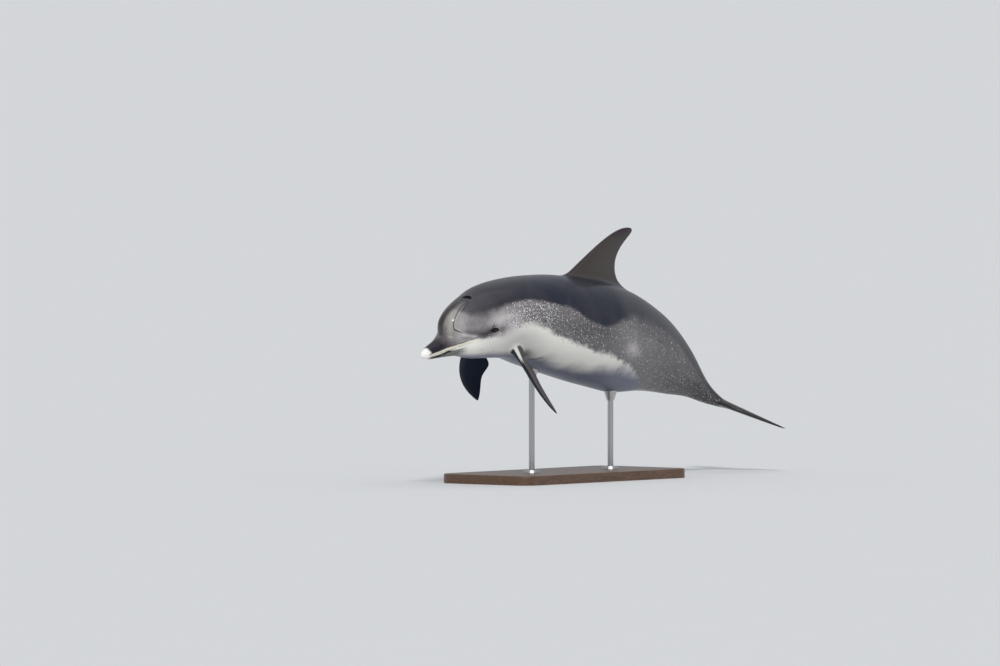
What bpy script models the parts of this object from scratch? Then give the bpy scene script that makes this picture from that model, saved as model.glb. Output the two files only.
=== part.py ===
"""Life-size Atlantic spotted dolphin in mid leap, carried by a plain display stand.

Metres, +Z up.  The snout points to -X and the animal's left side to -Y.  The whole animal
is rolled a little, left side down.  The origin is the middle of the stand's underside.

The body is one loft along a bent spine.  Each ring is the smooth union of a jaw section
and a trunk section, so the beak runs into the cheeks under the melon.  The loft is parted
into head, chest, abdomen and tail stock, the lower jaw is parted from the head along the
mouth, and the fins are airfoil lofts trimmed where they meet the skin.
"""
import math
from typing import Callable, NamedTuple

import bmesh
import bpy
import numpy as np
from mathutils import Matrix, Vector

# Driving dimensions, in metres and degrees.
LENGTH = 2.05            # snout to fluke notch, along the spine
GAP = 0.0003             # clearance between neighbouring solids
SNOUT = (-0.885, 0.0, 0.52)
ROLL = 6.0               # whole body, left side down
TAIL_TWIST = 11.0        # further roll of the flukes
RING_SIDES = 32

EYE_ALONG = 15.8         # hundredths of the length, as all places along the body
EYE_RADIUS = 0.0135
EYE_PROUD = 0.0045       # how far the eyeball stands out of the skin
BLOWHOLE_ALONG = 14.2
BLOWHOLE_RADIUS = 0.017
BLOWHOLE_SLIT = 0.0035

BASE_SIZE = (1.00, 0.44, 0.036)
BASE_CORNER = 0.06
ROD_X = {"front": -0.20, "rear": 0.28}
ROD_RADIUS = 0.011
FOOT_RADIUS = 0.034
FOOT_HEIGHT = 0.009
SADDLE_RADIUS = 0.030
SADDLE_DROP = 0.030      # saddle's visible height under the belly


class Section(NamedTuple):
    """One cross-section, in hundredths of the length; an exponent of 2 is an ellipse."""
    along: float
    top: float
    bottom: float
    half_width: float
    top_exponent: float = 2.2
    bottom_exponent: float = 2.3


TRUNK = [
    Section(9.5, 5.58, -4.60, 4.08, 2.20, 2.10),     # melon
    Section(12.2, 5.85, -4.90, 4.56, 2.25, 2.10),    # forehead
    Section(14.2, 6.18, -5.25, 5.05, 2.30, 2.10),    # blowhole
    Section(19.0, 7.56, -5.80, 6.45, 2.40, 2.10),    # neck
    Section(24.0, 8.44, -6.10, 7.31, 2.30, 2.10),    # flippers
    Section(31.0, 9.22, -7.55, 8.37, 2.20, 2.10),    # chest
    Section(39.0, 9.67, -8.90, 8.85, 2.10, 2.10),    # girth
    Section(50.0, 9.68, -10.05, 8.47, 2.00, 2.05),   # under the dorsal fin
    Section(58.0, 9.24, -10.30, 7.21, 1.90, 2.00),   # behind the dorsal fin
    Section(69.0, 7.50, -8.08, 5.19, 1.75, 1.90),    # vent
    Section(79.0, 5.00, -5.29, 3.17, 1.70, 1.70),    # tail stock
    Section(87.0, 2.60, -2.20, 1.64, 1.70, 1.70),    # narrowest of the stock
    Section(93.0, 1.30, -1.05, 1.06, 1.80, 1.80),    # fluke root
    Section(98.5, 0.40, -0.40, 0.58, 2.00, 2.00),    # by the notch
]
JAWS = [
    Section(0.8, -1.08, -1.58, 0.24),     # tip
    Section(1.2, -0.68, -2.00, 0.60),     # lips
    Section(2.1, -0.30, -2.36, 1.00),
    Section(3.5, -0.05, -2.64, 1.40),     # middle of the beak
    Section(5.8, 0.36, -3.05, 1.95),      # crease in front of the melon
    Section(8.5, 1.10, -3.54, 3.08),      # cheeks
    Section(12.0, 1.92, -4.50, 4.38),     # corner of the mouth
    Section(19.0, 2.20, -5.70, 5.40),     # end of the jaws
]
SPINE = [   # place along, degrees that the spine falls towards the tail
    (0, -16), (8, -14.5), (16, -7), (26, 1), (36, 4), (46, 6.5),
    (56, 10), (66, 15.5), (76, 25), (85, 30), (93, 18.5), (100, 12),
]
MELON_START = 7.3        # the melon's round front grows from here
MELON_END = 15.0
MELON_LEVEL = 1.15       # height at which the melon's nose starts
JAW_FADE = (11.5, 19.0)  # the jaw section sinks into the trunk's
BLEND = 9.0              # sharpness of the smooth union
TWIST_SPAN = (60.0, 95.0)

MOUTH = [   # place along, height: the line between the jaws
    (0.0, -1.36), (1.5, -1.32), (3.5, -1.18), (6.0, -1.02), (9.0, -0.75), (11.5, -0.45), (13.0, -0.52),
]
JAW_REAR = (15.2, -7.5)  # the jaw's hind edge runs down to here

BODY_PARTS = {   # runs of rings: start, end, steps, crowding of the rings towards the start
    "head": [(0.8, 7.3, 8, 1.4), (7.3, 14.2, 11, 2.0), (14.2, 20.5, 5, 1.0)],
    "chest": [(20.5, 40.0, 8, 1.0)],
    "abdomen": [(40.0, 66.0, 10, 1.0)],
    "tail_stock": [(66.0, 98.5, 14, 1.0)],
}

COLOURS = {   # base colour, roughness, metallic
    "skin_back": ((0.055, 0.058, 0.066), 0.35, 0.0),
    "skin_flank": ((0.16, 0.16, 0.17), 0.35, 0.0),
    "skin_belly": ((0.55, 0.54, 0.51), 0.35, 0.0),
    "eye": ((0.010, 0.008, 0.007), 0.08, 0.0),
    "base_wood": ((0.16, 0.085, 0.045), 0.40, 0.0),
    "steel": ((0.62, 0.62, 0.63), 0.28, 1.0),
}


def smooth_curve(points, at):
    """Monotone cubic through (place, value) points, read at one or many places."""
    x, y = np.array(points, float).T
    at = np.clip(np.asarray(at, float), x[0], x[-1])
    step = np.diff(x)
    rise = np.diff(y) / step
    slope = np.concatenate([[rise[0]], np.zeros(len(x) - 2), [rise[-1]]])
    for i in range(1, len(x) - 1):
        if rise[i - 1] * rise[i] > 0:
            before = 2 * step[i] + step[i - 1]
            after = step[i] + 2 * step[i - 1]
            slope[i] = (before + after) / (before / rise[i - 1] + after / rise[i])
    i = np.clip(np.searchsorted(x, at) - 1, 0, len(x) - 2)
    t = (at - x[i]) / step[i]
    return ((2 * t**3 - 3 * t**2 + 1) * y[i] + (t**3 - 2 * t**2 + t) * step[i] * slope[i]
            + (3 * t**2 - 2 * t**3) * y[i + 1] + (t**3 - t**2) * step[i] * slope[i + 1])


def read(sections, field, at):
    """One measure of a table of sections at a place along the body."""
    return smooth_curve([(s.along, getattr(s, field)) for s in sections], at)


def ease(at, start, end):
    """Smooth step from 0 at start to 1 at end."""
    t = np.clip((at - start) / (end - start), 0, 1)
    return t * t * (3 - 2 * t)


class Spine:
    """The bent line that the rings are threaded on."""

    STEPS = 801

    def __init__(self):
        self.along = np.linspace(0, 100, self.STEPS)
        self.pitch = np.radians(smooth_curve(SPINE, self.along))
        step = LENGTH / (self.STEPS - 1)
        self.x = self.travel(np.cos(self.pitch), step)
        self.z = self.travel(-np.sin(self.pitch), step)

    @staticmethod
    def travel(rate, step):
        return np.concatenate([[0], np.cumsum((rate[1:] + rate[:-1]) / 2 * step)])

    def place(self, at, side, up):
        """Body-frame points: side towards the left and up, in hundredths of the length."""
        x, z, pitch = (np.interp(at, self.along, v) for v in (self.x, self.z, self.pitch))
        twist = np.radians(TAIL_TWIST) * ease(at, *TWIST_SPAN)
        out = (side * np.cos(twist) + up * np.sin(twist)) * LENGTH / 100
        rise = (up * np.cos(twist) - side * np.sin(twist)) * LENGTH / 100
        return np.stack([x + rise * np.sin(pitch), -out, z + rise * np.cos(pitch)], -1)


spine = Spine()


def trunk_section(at):
    """The trunk's top, bottom and half width, with the melon's round front."""
    top, bottom, width = (read(TRUNK, f, at) for f in ("top", "bottom", "half_width"))
    grown = np.clip((at - MELON_START) / (MELON_END - MELON_START), 0, 1)
    round_front = np.sqrt(1 - (1 - grown) ** 2)
    top = MELON_LEVEL + (top - MELON_LEVEL) * round_front ** 0.80
    bottom = MELON_LEVEL + (bottom - MELON_LEVEL) * round_front ** 1.5
    return top, bottom, width * round_front


def superellipse(y, z, top, bottom, width, top_exponent, bottom_exponent):
    """Gauge of a section: below 1 inside, above 1 outside."""
    middle = (top + bottom) / 2 - 0.04 * (top - bottom)
    upper = z >= middle
    exponent = np.where(upper, top_exponent, bottom_exponent)
    height = np.maximum(np.where(upper, top - middle, middle - bottom), 1e-4)
    width = np.maximum(width, 1e-4)
    return (np.abs(y / width) ** exponent + np.abs((z - middle) / height) ** exponent) ** (1 / exponent)


def body_gauge(at, y, z):
    """Smooth union of the trunk's and the jaws' sections."""
    trunk = superellipse(y, z, *trunk_section(at), read(TRUNK, "top_exponent", at),
                         read(TRUNK, "bottom_exponent", at))
    jaws = superellipse(y, z, *(read(JAWS, f, at) for f in ("top", "bottom", "half_width")), 2.2, 2.3)
    faded = np.clip((at - JAW_FADE[0]) / (JAW_FADE[1] - JAW_FADE[0]), 0, 1)
    jaws = jaws * (1 + 0.9 * faded ** 2)
    trunk = np.where(at <= MELON_START, 1e3, np.maximum(trunk, 1e-3))
    jaws = np.where(at >= JAW_FADE[1], 1e3, np.maximum(jaws, 1e-3))
    return (trunk ** -BLEND + jaws ** -BLEND) ** (-1 / BLEND)


def section_middle(at):
    """Height of the point that a ring's angles are counted round."""
    trunk = (trunk_section(at)[0] + trunk_section(at)[1]) / 2
    jaws = (read(JAWS, "top", at) + read(JAWS, "bottom", at)) / 2
    share = ease(at, 5.0, 17.0)
    return (1 - share) * jaws + share * trunk


def skin_point(at, angle, swell=0.0):
    """Point of the skin: angle 0 is the left side, 90 the back; swell in metres."""
    at, angle = np.broadcast_arrays(np.asarray(at, float), np.radians(angle))
    middle = section_middle(at)
    low = np.zeros(at.shape)
    high = np.full(at.shape, 25.0)
    for _ in range(26):
        radius = (low + high) / 2
        outside = body_gauge(at, radius * np.cos(angle), middle + radius * np.sin(angle)) > 1
        high = np.where(outside, radius, high)
        low = np.where(outside, low, radius)
    radius = (low + high) / 2 + swell * 100 / LENGTH
    return spine.place(at, radius * np.cos(angle), middle + radius * np.sin(angle))


def midline(at, field, sunk=0.0):
    """Point of the back or belly line, a little under the skin."""
    height = read(TRUNK, field, at) - sunk * 100 / LENGTH * (1 if field == "top" else -1)
    return Vector(spine.place(at, 0.0, height))


def pose():
    """From the body frame, at the snout, to the stand's frame."""
    return Matrix.Translation(SNOUT) @ Matrix.Rotation(math.radians(ROLL), 4, "X")


def loft(rings):
    """A closed mesh through rings of points, with flat ends."""
    mesh = bmesh.new()
    loops = [[mesh.verts.new(point) for point in ring] for ring in rings]
    for near, far in zip(loops, loops[1:]):
        for i in range(len(near)):
            j = (i + 1) % len(near)
            mesh.faces.new((near[i], near[j], far[j], far[i]))
    bmesh.ops.triangulate(mesh, faces=mesh.faces, quad_method="FIXED")
    mesh.faces.new(loops[0])
    mesh.faces.new(loops[-1])
    bmesh.ops.recalc_face_normals(mesh, faces=mesh.faces)
    return mesh


def finish(name):
    """The Principled material of one colour."""
    colour, roughness, metallic = COLOURS[name]
    material = bpy.data.materials.get(name) or bpy.data.materials.new(name)
    material.use_nodes = True
    shader = material.node_tree.nodes["Principled BSDF"]
    shader.inputs["Base Color"].default_value = (*colour, 1.0)
    shader.inputs["Roughness"].default_value = roughness
    shader.inputs["Metallic"].default_value = metallic
    return material


def add_object(name, mesh, colour, collection, placed=None):
    """Turns a bmesh into an object, moved by a matrix."""
    if placed is not None:
        mesh.transform(placed)
    data = bpy.data.meshes.new(name)
    mesh.to_mesh(data)
    mesh.free()
    data.shade_smooth()
    data.set_sharp_from_angle(angle=math.radians(50))
    if colour:
        data.materials.append(finish(colour))
    made = bpy.data.objects.new(name, data)
    collection.objects.link(made)
    return made


def add_cutter(name, mesh, collections, placed=None):
    """An object that only trims others."""
    made = add_object(name, mesh, None, collections["cutters"], placed)
    made.hide_render = True
    made.display_type = "WIRE"
    return made


def trim(target, cutter, operation="DIFFERENCE"):
    """Cuts one object by another, or keeps what they share."""
    cut = target.modifiers.new(cutter.name, "BOOLEAN")
    cut.operation = operation
    cut.solver = "EXACT"
    cut.object = cutter


def stations(part):
    """Places of a part's rings, with a small clearance to its neighbours."""
    runs = BODY_PARTS[part]
    places = [runs[0][0]]
    for start, end, steps, crowding in runs:
        places.extend(start + (end - start) * (np.arange(1, steps + 1) / steps) ** crowding)
    names = list(BODY_PARTS)
    seam = GAP / 2 * 100 / LENGTH
    places[0] += seam * (part != names[0])
    places[-1] -= seam * (part != names[-1])
    return places


def body_rings(places, swell=0.0):
    """Rings of skin points at places along the body."""
    angles = np.arange(RING_SIDES) * 360 / RING_SIDES
    return [skin_point(at, angles, swell) for at in places]


def build_body(collections):
    """Head, chest, abdomen and tail stock, and the whole body as a cutter."""
    colours = dict.fromkeys(BODY_PARTS, "skin_back") | dict.fromkeys(("chest", "abdomen"), "skin_flank")
    parts = {}
    whole = []
    for name in BODY_PARTS:
        places = stations(name)
        whole.extend(places)
        parts[name] = add_object(name, loft(body_rings(places)), colours[name], collections["parts"], pose())
    whole[-1] += GAP * 100 / LENGTH
    cutter = add_cutter("body_trim", loft(body_rings(whole, GAP)), collections, pose())
    return parts, cutter


def jaw_block(clear):
    """The space of the lower jaw: all that lies under the mouth line, grown by a clearance."""
    grow = clear * 100 / LENGTH
    reach = 0.3
    profile = [Vector(spine.place(at, 0.0, height + grow)) for at, height in MOUTH]
    corner = Vector(spine.place(MOUTH[-1][0] + grow, 0.0, MOUTH[-1][1] + grow))
    rear = Vector(spine.place(JAW_REAR[0] + grow, 0.0, JAW_REAR[1]))
    profile = [profile[0] - Vector((reach, 0, 0)), *profile[:-1], corner, rear,
               Vector((-reach, 0, rear.z))]
    return loft([[p + Vector((0, side, 0)) for p in profile] for side in (-reach, reach)])


def build_lower_jaw(head, collections):
    """Parts the lower jaw from the head along the mouth."""
    whole = loft(body_rings(stations("head")))
    jaw = add_object("lower_jaw", whole, "skin_belly", collections["parts"], pose())
    trim(jaw, add_cutter("jaw_space", jaw_block(0.0), collections, pose()), "INTERSECT")
    trim(head, add_cutter("jaw_trim", jaw_block(GAP), collections, pose()))


def build_eyes(head, collections):
    """Two eyeballs in sockets of the head."""
    for name, angle in (("left", 0.0), ("right", 180.0)):
        middle = section_middle(np.array(EYE_ALONG))
        inner = Vector(spine.place(np.array(EYE_ALONG), 0.0, middle))
        skin = Vector(skin_point(EYE_ALONG, angle))
        centre = skin + (skin - inner).normalized() * (EYE_PROUD - EYE_RADIUS)
        for kind, radius in (("eye_", EYE_RADIUS), ("socket_", EYE_RADIUS + GAP)):
            ball = bmesh.new()
            bmesh.ops.create_uvsphere(ball, u_segments=18, v_segments=10, radius=radius)
            ball.transform(Matrix.Translation(centre))
            if kind == "eye_":
                add_object(kind + name, ball, "eye", collections["parts"], pose())
            else:
                trim(head, add_cutter(kind + name, ball, collections, pose()))


def build_blowhole(head, collections):
    """A crescent slit on top of the head, its horns forward."""
    rings = []
    top = midline(BLOWHOLE_ALONG, "top")
    ahead = (midline(BLOWHOLE_ALONG - 1, "top") - top).normalized()
    up = Vector((0, 1, 0)).cross(ahead).normalized()
    left = Vector((0, -1, 0))
    for angle in np.radians(np.linspace(-75, 75, 11)):
        spoke = left * math.sin(angle) - ahead * math.cos(angle)
        centre = top + ahead * BLOWHOLE_RADIUS * 0.6 + spoke * BLOWHOLE_RADIUS
        slit = BLOWHOLE_SLIT * (0.35 + 0.65 * math.cos(angle))
        rings.append([centre + spoke * slit * math.cos(a) + up * 2 * slit * math.sin(a)
                      for a in np.arange(8) * math.pi / 4])
    trim(head, add_cutter("blowhole_slit", loft(rings), collections, pose()))


class Fin(NamedTuple):
    """An airfoil fin; outline gives lead, trail (in chords) and thickness along the span."""
    root: Vector
    span: Vector         # unit vectors: root to tip, leading to trailing edge, across
    chord_line: Vector
    across: Vector
    length: float
    chord: float
    outline: Callable[[float], tuple]
    rounding: float      # higher keeps the tip squarer


FOIL_POINTS = 8
FOIL_EDGE = 0.0007       # half thickness of the trailing edge
FIN_RINGS = 11
FIN_REACH = 0.996        # the last ring stops just short of the rounded tip


def foil():
    """Chord share and half-thickness share of a symmetric airfoil, once round."""
    x = (1 - np.cos(np.linspace(0, np.pi, FOIL_POINTS))) / 2
    y = 2.969 * np.sqrt(x) - 1.26 * x - 3.516 * x**2 + 2.843 * x**3 - 1.036 * x**4
    upper = list(zip(x, y / 2))
    return upper + [(a, -b) for a, b in reversed(upper[1:])]


def fin_mesh(fin):
    """Airfoil rings from the root to a rounded tip."""
    rings = []
    for share in np.sin(np.linspace(0, np.pi / 2, FIN_RINGS)) * FIN_REACH:
        lead, trail, thick = fin.outline(share)
        half = (trail - lead) / 2 * math.sqrt(1 - share ** fin.rounding)
        ring = []
        for i, (x, y) in enumerate(foil()):
            depth = thick * y + FOIL_EDGE * x * (1 if i < FOIL_POINTS else -1)
            along = (trail + lead) / 2 - half + 2 * half * x
            ring.append(fin.root + fin.span * fin.length * share
                        + fin.chord_line * fin.chord * along + fin.across * depth)
        rings.append(ring)
    return loft(rings)


def dorsal_fin():
    """The tall hooked fin in the middle of the back."""
    front = midline(41.8, "top", sunk=0.012)
    rear = midline(57.2, "top", sunk=0.012)
    chord = (rear - front).length
    chord_line = (rear - front) / chord
    across = Vector((0, 1, 0))

    def outline(h):
        lead = -0.072 + 0.81 * h + 0.094 * h**4
        trail = 0.827 + 0.97 * (h - 0.435) ** 2 + 0.16 * math.exp(-h / 0.09)
        return lead, trail, 0.12 * chord * (trail - lead) + 0.001

    return Fin(front, chord_line.cross(across), chord_line, across, 0.2455, chord, outline, 12)


def flipper(side):
    """A flipper; side is 1 on the left and -1 on the right."""
    base = Vector(skin_point(23.4, -46.0))
    base.y *= side
    span = (Vector((0.46, -0.38, -0.84)) if side > 0 else Vector((0.49, 0.405, -0.84))).normalized()
    ahead = Vector((-0.89, -0.456, 0)) if side > 0 else Vector((-0.69, 0.72, 0))
    ahead = (ahead - span * ahead.dot(span)).normalized()

    def outline(h):
        lead = -0.30 - 0.19 * math.sin(math.pi * h) + 0.50 * h**4
        trail = 0.25 + 0.11 * h + 0.25 * math.exp(-((h - 0.385) / 0.15) ** 2)
        return lead, trail, 0.021 * (1 - h) ** 0.7 + 0.003 + 0.008 * math.exp(-(h / 0.15) ** 2)

    return Fin(base - span * 0.02, span, -ahead, span.cross(ahead), 0.314, 0.1107, outline, 14)


def fluke(side):
    """One half of the tail fin; side is 1 on the left and -1 on the right."""
    pitch = math.radians(14.0)
    twist = math.radians(TAIL_TWIST)
    chord_line = Vector((math.cos(pitch), 0, -math.sin(pitch)))
    up = Vector((math.sin(pitch), 0, math.cos(pitch)))
    span = (Vector((0, -math.cos(twist), 0)) - up * math.sin(twist)) * side
    root = Vector(spine.place(np.array(92.5), 0.0, 0.0)) + span * GAP / 2

    def outline(h):
        lead = 0.98 * h**1.15 - 0.12 * math.sin(math.pi * h)
        trail = 0.86 + 0.10 * math.sin(math.pi * h) + 0.25 * h**2
        return lead, trail, 0.026 * (1 - h) ** 0.8 + 0.003

    return Fin(root, span, chord_line, chord_line.cross(span), 0.246, 0.168, outline, 9)


def build_fins(body_cutter, collections):
    """Dorsal fin, flippers and flukes, trimmed by the body."""
    fins = {"dorsal_fin": dorsal_fin()}
    for side, name in ((1, "left"), (-1, "right")):
        fins["flipper_" + name] = flipper(side)
        fins["fluke_" + name] = fluke(side)
    for name, fin in fins.items():
        made = add_object(name, fin_mesh(fin), "skin_back", collections["parts"], pose())
        trim(made, body_cutter)


def round_bar(radius, low, high, x, radius_top=None):
    """An upright cylinder or cone frustum."""
    bar = bmesh.new()
    bmesh.ops.create_cone(bar, cap_ends=True, segments=28, radius1=radius,
                          radius2=radius_top or radius, depth=high - low)
    bar.transform(Matrix.Translation((x, 0, (low + high) / 2)))
    return bar


def base_plate():
    """A plate with round corners and a softened upper edge, flat underneath."""
    plate = bmesh.new()
    bmesh.ops.create_cube(plate, size=1.0)
    plate.transform(Matrix.Translation((0, 0, BASE_SIZE[2] / 2)) @ Matrix.Diagonal((*BASE_SIZE, 1)))
    upright = [e for e in plate.edges if abs(e.verts[0].co.z - e.verts[1].co.z) > GAP]
    bmesh.ops.bevel(plate, geom=upright, offset=BASE_CORNER, segments=7, profile=0.5, affect="EDGES")
    rim = [e for e in plate.edges if all(v.co.z > BASE_SIZE[2] - GAP for v in e.verts)]
    bmesh.ops.bevel(plate, geom=rim, offset=0.006, segments=3, profile=0.5, affect="EDGES")
    return plate


def build_stand(body_cutter, collections):
    """Base plate, and under the belly two rods with a foot and a saddle each."""
    parts = collections["parts"]
    add_object("stand_base", base_plate(), "base_wood", parts)
    surface = bpy.data.objects["body_trim"].data
    for name, x in ROD_X.items():
        belly = min(v.co.z for v in surface.vertices if abs(v.co.x - x) < 0.03 and abs(v.co.y) < 0.05)
        floor = BASE_SIZE[2] + GAP
        foot_top = floor + FOOT_HEIGHT
        saddle_low = belly - SADDLE_DROP
        foot = round_bar(FOOT_RADIUS, floor, foot_top, x, FOOT_RADIUS - 0.003)
        add_object("stand_foot_" + name, foot, "steel", parts)
        rod = round_bar(ROD_RADIUS, foot_top + GAP, saddle_low - GAP, x)
        add_object("stand_rod_" + name, rod, "steel", parts)
        cup = round_bar(ROD_RADIUS + 0.003, saddle_low, belly + 0.02, x, SADDLE_RADIUS)
        trim(add_object("stand_saddle_" + name, cup, "steel", parts), body_cutter)


def main():
    for old in list(bpy.data.objects):
        bpy.data.objects.remove(old, do_unlink=True)
    collections = {}
    for key, name in (("parts", "spotted_dolphin"), ("cutters", "cutters")):
        collections[key] = bpy.data.collections.new(name)
        bpy.context.scene.collection.children.link(collections[key])
    parts, body_cutter = build_body(collections)
    build_lower_jaw(parts["head"], collections)
    build_eyes(parts["head"], collections)
    build_blowhole(parts["head"], collections)
    build_fins(body_cutter, collections)
    build_stand(body_cutter, collections)


main()
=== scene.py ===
"""Looks of a life-size Atlantic spotted dolphin in mid leap, carried by a plain display stand.

Metres, +Z up.  The snout points to -X and the animal's left side to -Y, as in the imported
model.  A part is one hundredth of the animal's length, the unit of places along the body.

The skin is one sheet rolled round the same bent spine as the solids.  Blocks of its faces
are left open, and the fins, the lids and the blowhole's rim grow out of the edges of those
openings, so the animal wears one closed skin without a seam.
"""
import logging
import math
from dataclasses import dataclass, field
from enum import Enum
from typing import Callable, NamedTuple, Sequence

import bpy
import numpy as np
from mathutils import Matrix, Vector


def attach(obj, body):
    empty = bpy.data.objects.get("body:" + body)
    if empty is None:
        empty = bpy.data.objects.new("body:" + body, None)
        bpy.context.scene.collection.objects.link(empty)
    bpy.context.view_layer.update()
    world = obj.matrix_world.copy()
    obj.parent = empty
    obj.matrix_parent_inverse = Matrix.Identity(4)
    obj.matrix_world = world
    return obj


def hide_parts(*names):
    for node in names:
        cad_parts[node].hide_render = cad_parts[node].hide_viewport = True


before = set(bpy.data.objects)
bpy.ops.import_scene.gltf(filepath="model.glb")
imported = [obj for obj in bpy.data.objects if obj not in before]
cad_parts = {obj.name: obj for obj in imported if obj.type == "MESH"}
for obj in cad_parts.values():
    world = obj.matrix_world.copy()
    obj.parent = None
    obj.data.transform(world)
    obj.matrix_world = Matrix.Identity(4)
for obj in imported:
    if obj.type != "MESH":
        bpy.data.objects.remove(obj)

log = logging.getLogger("dolphin")
Array = np.ndarray
Colour = tuple[float, float, float]

LENGTH = 2.05                   # snout to fluke notch, along the spine
PART = LENGTH / 100             # the unit along the body and across its sections
EYE_ALONG = 15.8                # the eye's place along the body, in parts
SNOUT = Vector((-0.885, 0.0, 0.52))
ROLL = math.radians(6.0)
POSE = Matrix.Translation(SNOUT) @ Matrix.Rotation(ROLL, 4, "X")
MILLIMETRE = 0.001
WIDEST = 25.0                   # more parts than from the spine to any of the skin
FAR = 1e3                       # gauge of a section that isn't there


def smooth_curve(points: Sequence[tuple[float, float]], at: Array) -> Array:
    """Monotone cubic through points.

    Args:
        points: (place, value) pairs in rising order.
        at: Places to read; beyond the ends the end values hold.

    Returns:
        The values at those places.
    """
    x, y = np.array(points, float).T
    at = np.clip(np.asarray(at, float), x[0], x[-1])
    step = np.diff(x)
    rise = np.diff(y) / step
    slope = np.concatenate([[rise[0]], np.zeros(len(x) - 2), [rise[-1]]])
    for i in range(1, len(x) - 1):
        if rise[i - 1] * rise[i] > 0:
            before = 2 * step[i] + step[i - 1]
            after = step[i] + 2 * step[i - 1]
            slope[i] = (before + after) / (before / rise[i - 1] + after / rise[i])
    i = np.clip(np.searchsorted(x, at) - 1, 0, len(x) - 2)
    t = (at - x[i]) / step[i]
    return ((2 * t**3 - 3 * t**2 + 1) * y[i] + (t**3 - 2 * t**2 + t) * step[i] * slope[i]
            + (3 * t**2 - 2 * t**3) * y[i + 1] + (t**3 - t**2) * step[i] * slope[i + 1])


def ease(at: Array, start: float, end: float) -> Array:
    """Smooth step from 0 at start to 1 at end."""
    t = np.clip((at - start) / (end - start), 0, 1)
    return t * t * (3 - 2 * t)


def bump(distance: Array, width: float) -> Array:
    """A bell of height 1 whose half width is about the given width."""
    return np.exp(-(distance / width) ** 2)


def patch(x: Array, y: Array, middle: tuple[float, float], size: tuple[float, float]) -> Array:
    """A soft oval patch of height 1, with its middle and its half sizes in the units of x and y."""
    return bump(np.hypot((x - middle[0]) / size[0], (y - middle[1]) / size[1]), 1.0)


def halve(outside: Callable[[Array], Array], low: Array, high: Array, steps: int = 24) -> Array:
    """Where a test turns from false, at low, to true, at high, found by halving the stretch.

    Args:
        outside: The test.
        low: Near end of the stretch.
        high: Far end of the stretch.
        steps: How often it is halved.

    Returns:
        The places of the turn.
    """
    for _ in range(steps):
        centre = (low + high) / 2
        beyond = outside(centre)
        high, low = np.where(beyond, centre, high), np.where(beyond, low, centre)
    return (low + high) / 2


def near_turn(angle: Array, middle: float) -> Array:
    """The same angles in degrees, taken within half a turn of a middle."""
    return middle + (angle - middle + 180) % 360 - 180


def unit(vector: Sequence[float]) -> Array:
    """The vector, made one long."""
    vector = np.asarray(vector, float)
    return vector / np.linalg.norm(vector)


class Section(NamedTuple):
    """One cross-section, in parts; an exponent of 2 is an ellipse."""

    along: float
    top: float
    bottom: float
    half_width: float
    top_exponent: float = 2.2
    bottom_exponent: float = 2.3


TRUNK = (
    Section(9.5, 5.58, -4.60, 4.08, 2.20, 2.10),     # melon
    Section(12.2, 5.85, -4.90, 4.56, 2.25, 2.10),    # forehead
    Section(14.2, 6.18, -5.25, 5.05, 2.30, 2.10),    # blowhole
    Section(19.0, 7.56, -5.80, 6.45, 2.40, 2.10),    # neck
    Section(24.0, 8.44, -6.10, 7.31, 2.30, 2.10),    # flippers
    Section(31.0, 9.22, -7.55, 8.37, 2.20, 2.10),    # chest
    Section(39.0, 9.67, -8.90, 8.85, 2.10, 2.10),    # girth
    Section(50.0, 9.68, -10.05, 8.47, 2.00, 2.05),   # under the dorsal fin
    Section(58.0, 9.24, -10.30, 7.21, 1.90, 2.00),   # behind the dorsal fin
    Section(69.0, 7.50, -8.08, 5.19, 1.75, 1.90),    # vent
    Section(79.0, 5.00, -5.29, 3.17, 1.70, 1.70),    # tail stock
    Section(87.0, 2.60, -2.20, 1.64, 1.70, 1.70),    # narrowest of the stock
    Section(93.0, 1.30, -1.05, 1.06, 1.80, 1.80),    # fluke root
    Section(98.5, 0.40, -0.40, 0.58, 2.00, 2.00),    # by the notch
)
JAWS = (
    Section(0.8, -1.08, -1.58, 0.24),     # tip
    Section(1.2, -0.68, -2.00, 0.60),     # lips
    Section(2.1, -0.30, -2.36, 1.00),
    Section(3.5, -0.05, -2.64, 1.40),     # middle of the beak
    Section(5.8, 0.36, -3.05, 1.95),      # crease in front of the melon
    Section(8.5, 1.10, -3.54, 3.08),      # cheeks
    Section(12.0, 1.92, -4.50, 4.38),     # corner of the mouth
    Section(19.0, 2.20, -5.70, 5.40),     # end of the jaws
)
SPINE = (   # place along, degrees that the spine falls towards the tail
    (0, -16), (8, -14.5), (16, -7), (26, 1), (36, 4), (46, 6.5),
    (56, 10), (66, 15.5), (76, 25), (85, 30), (93, 18.5), (100, 12),
)
MOUTH = (   # place along, height: the line between the jaws
    (0.0, -1.36), (1.5, -1.32), (3.5, -1.18), (6.0, -1.02), (9.0, -0.75), (11.5, -0.45), (13.0, -0.52),
)


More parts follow.
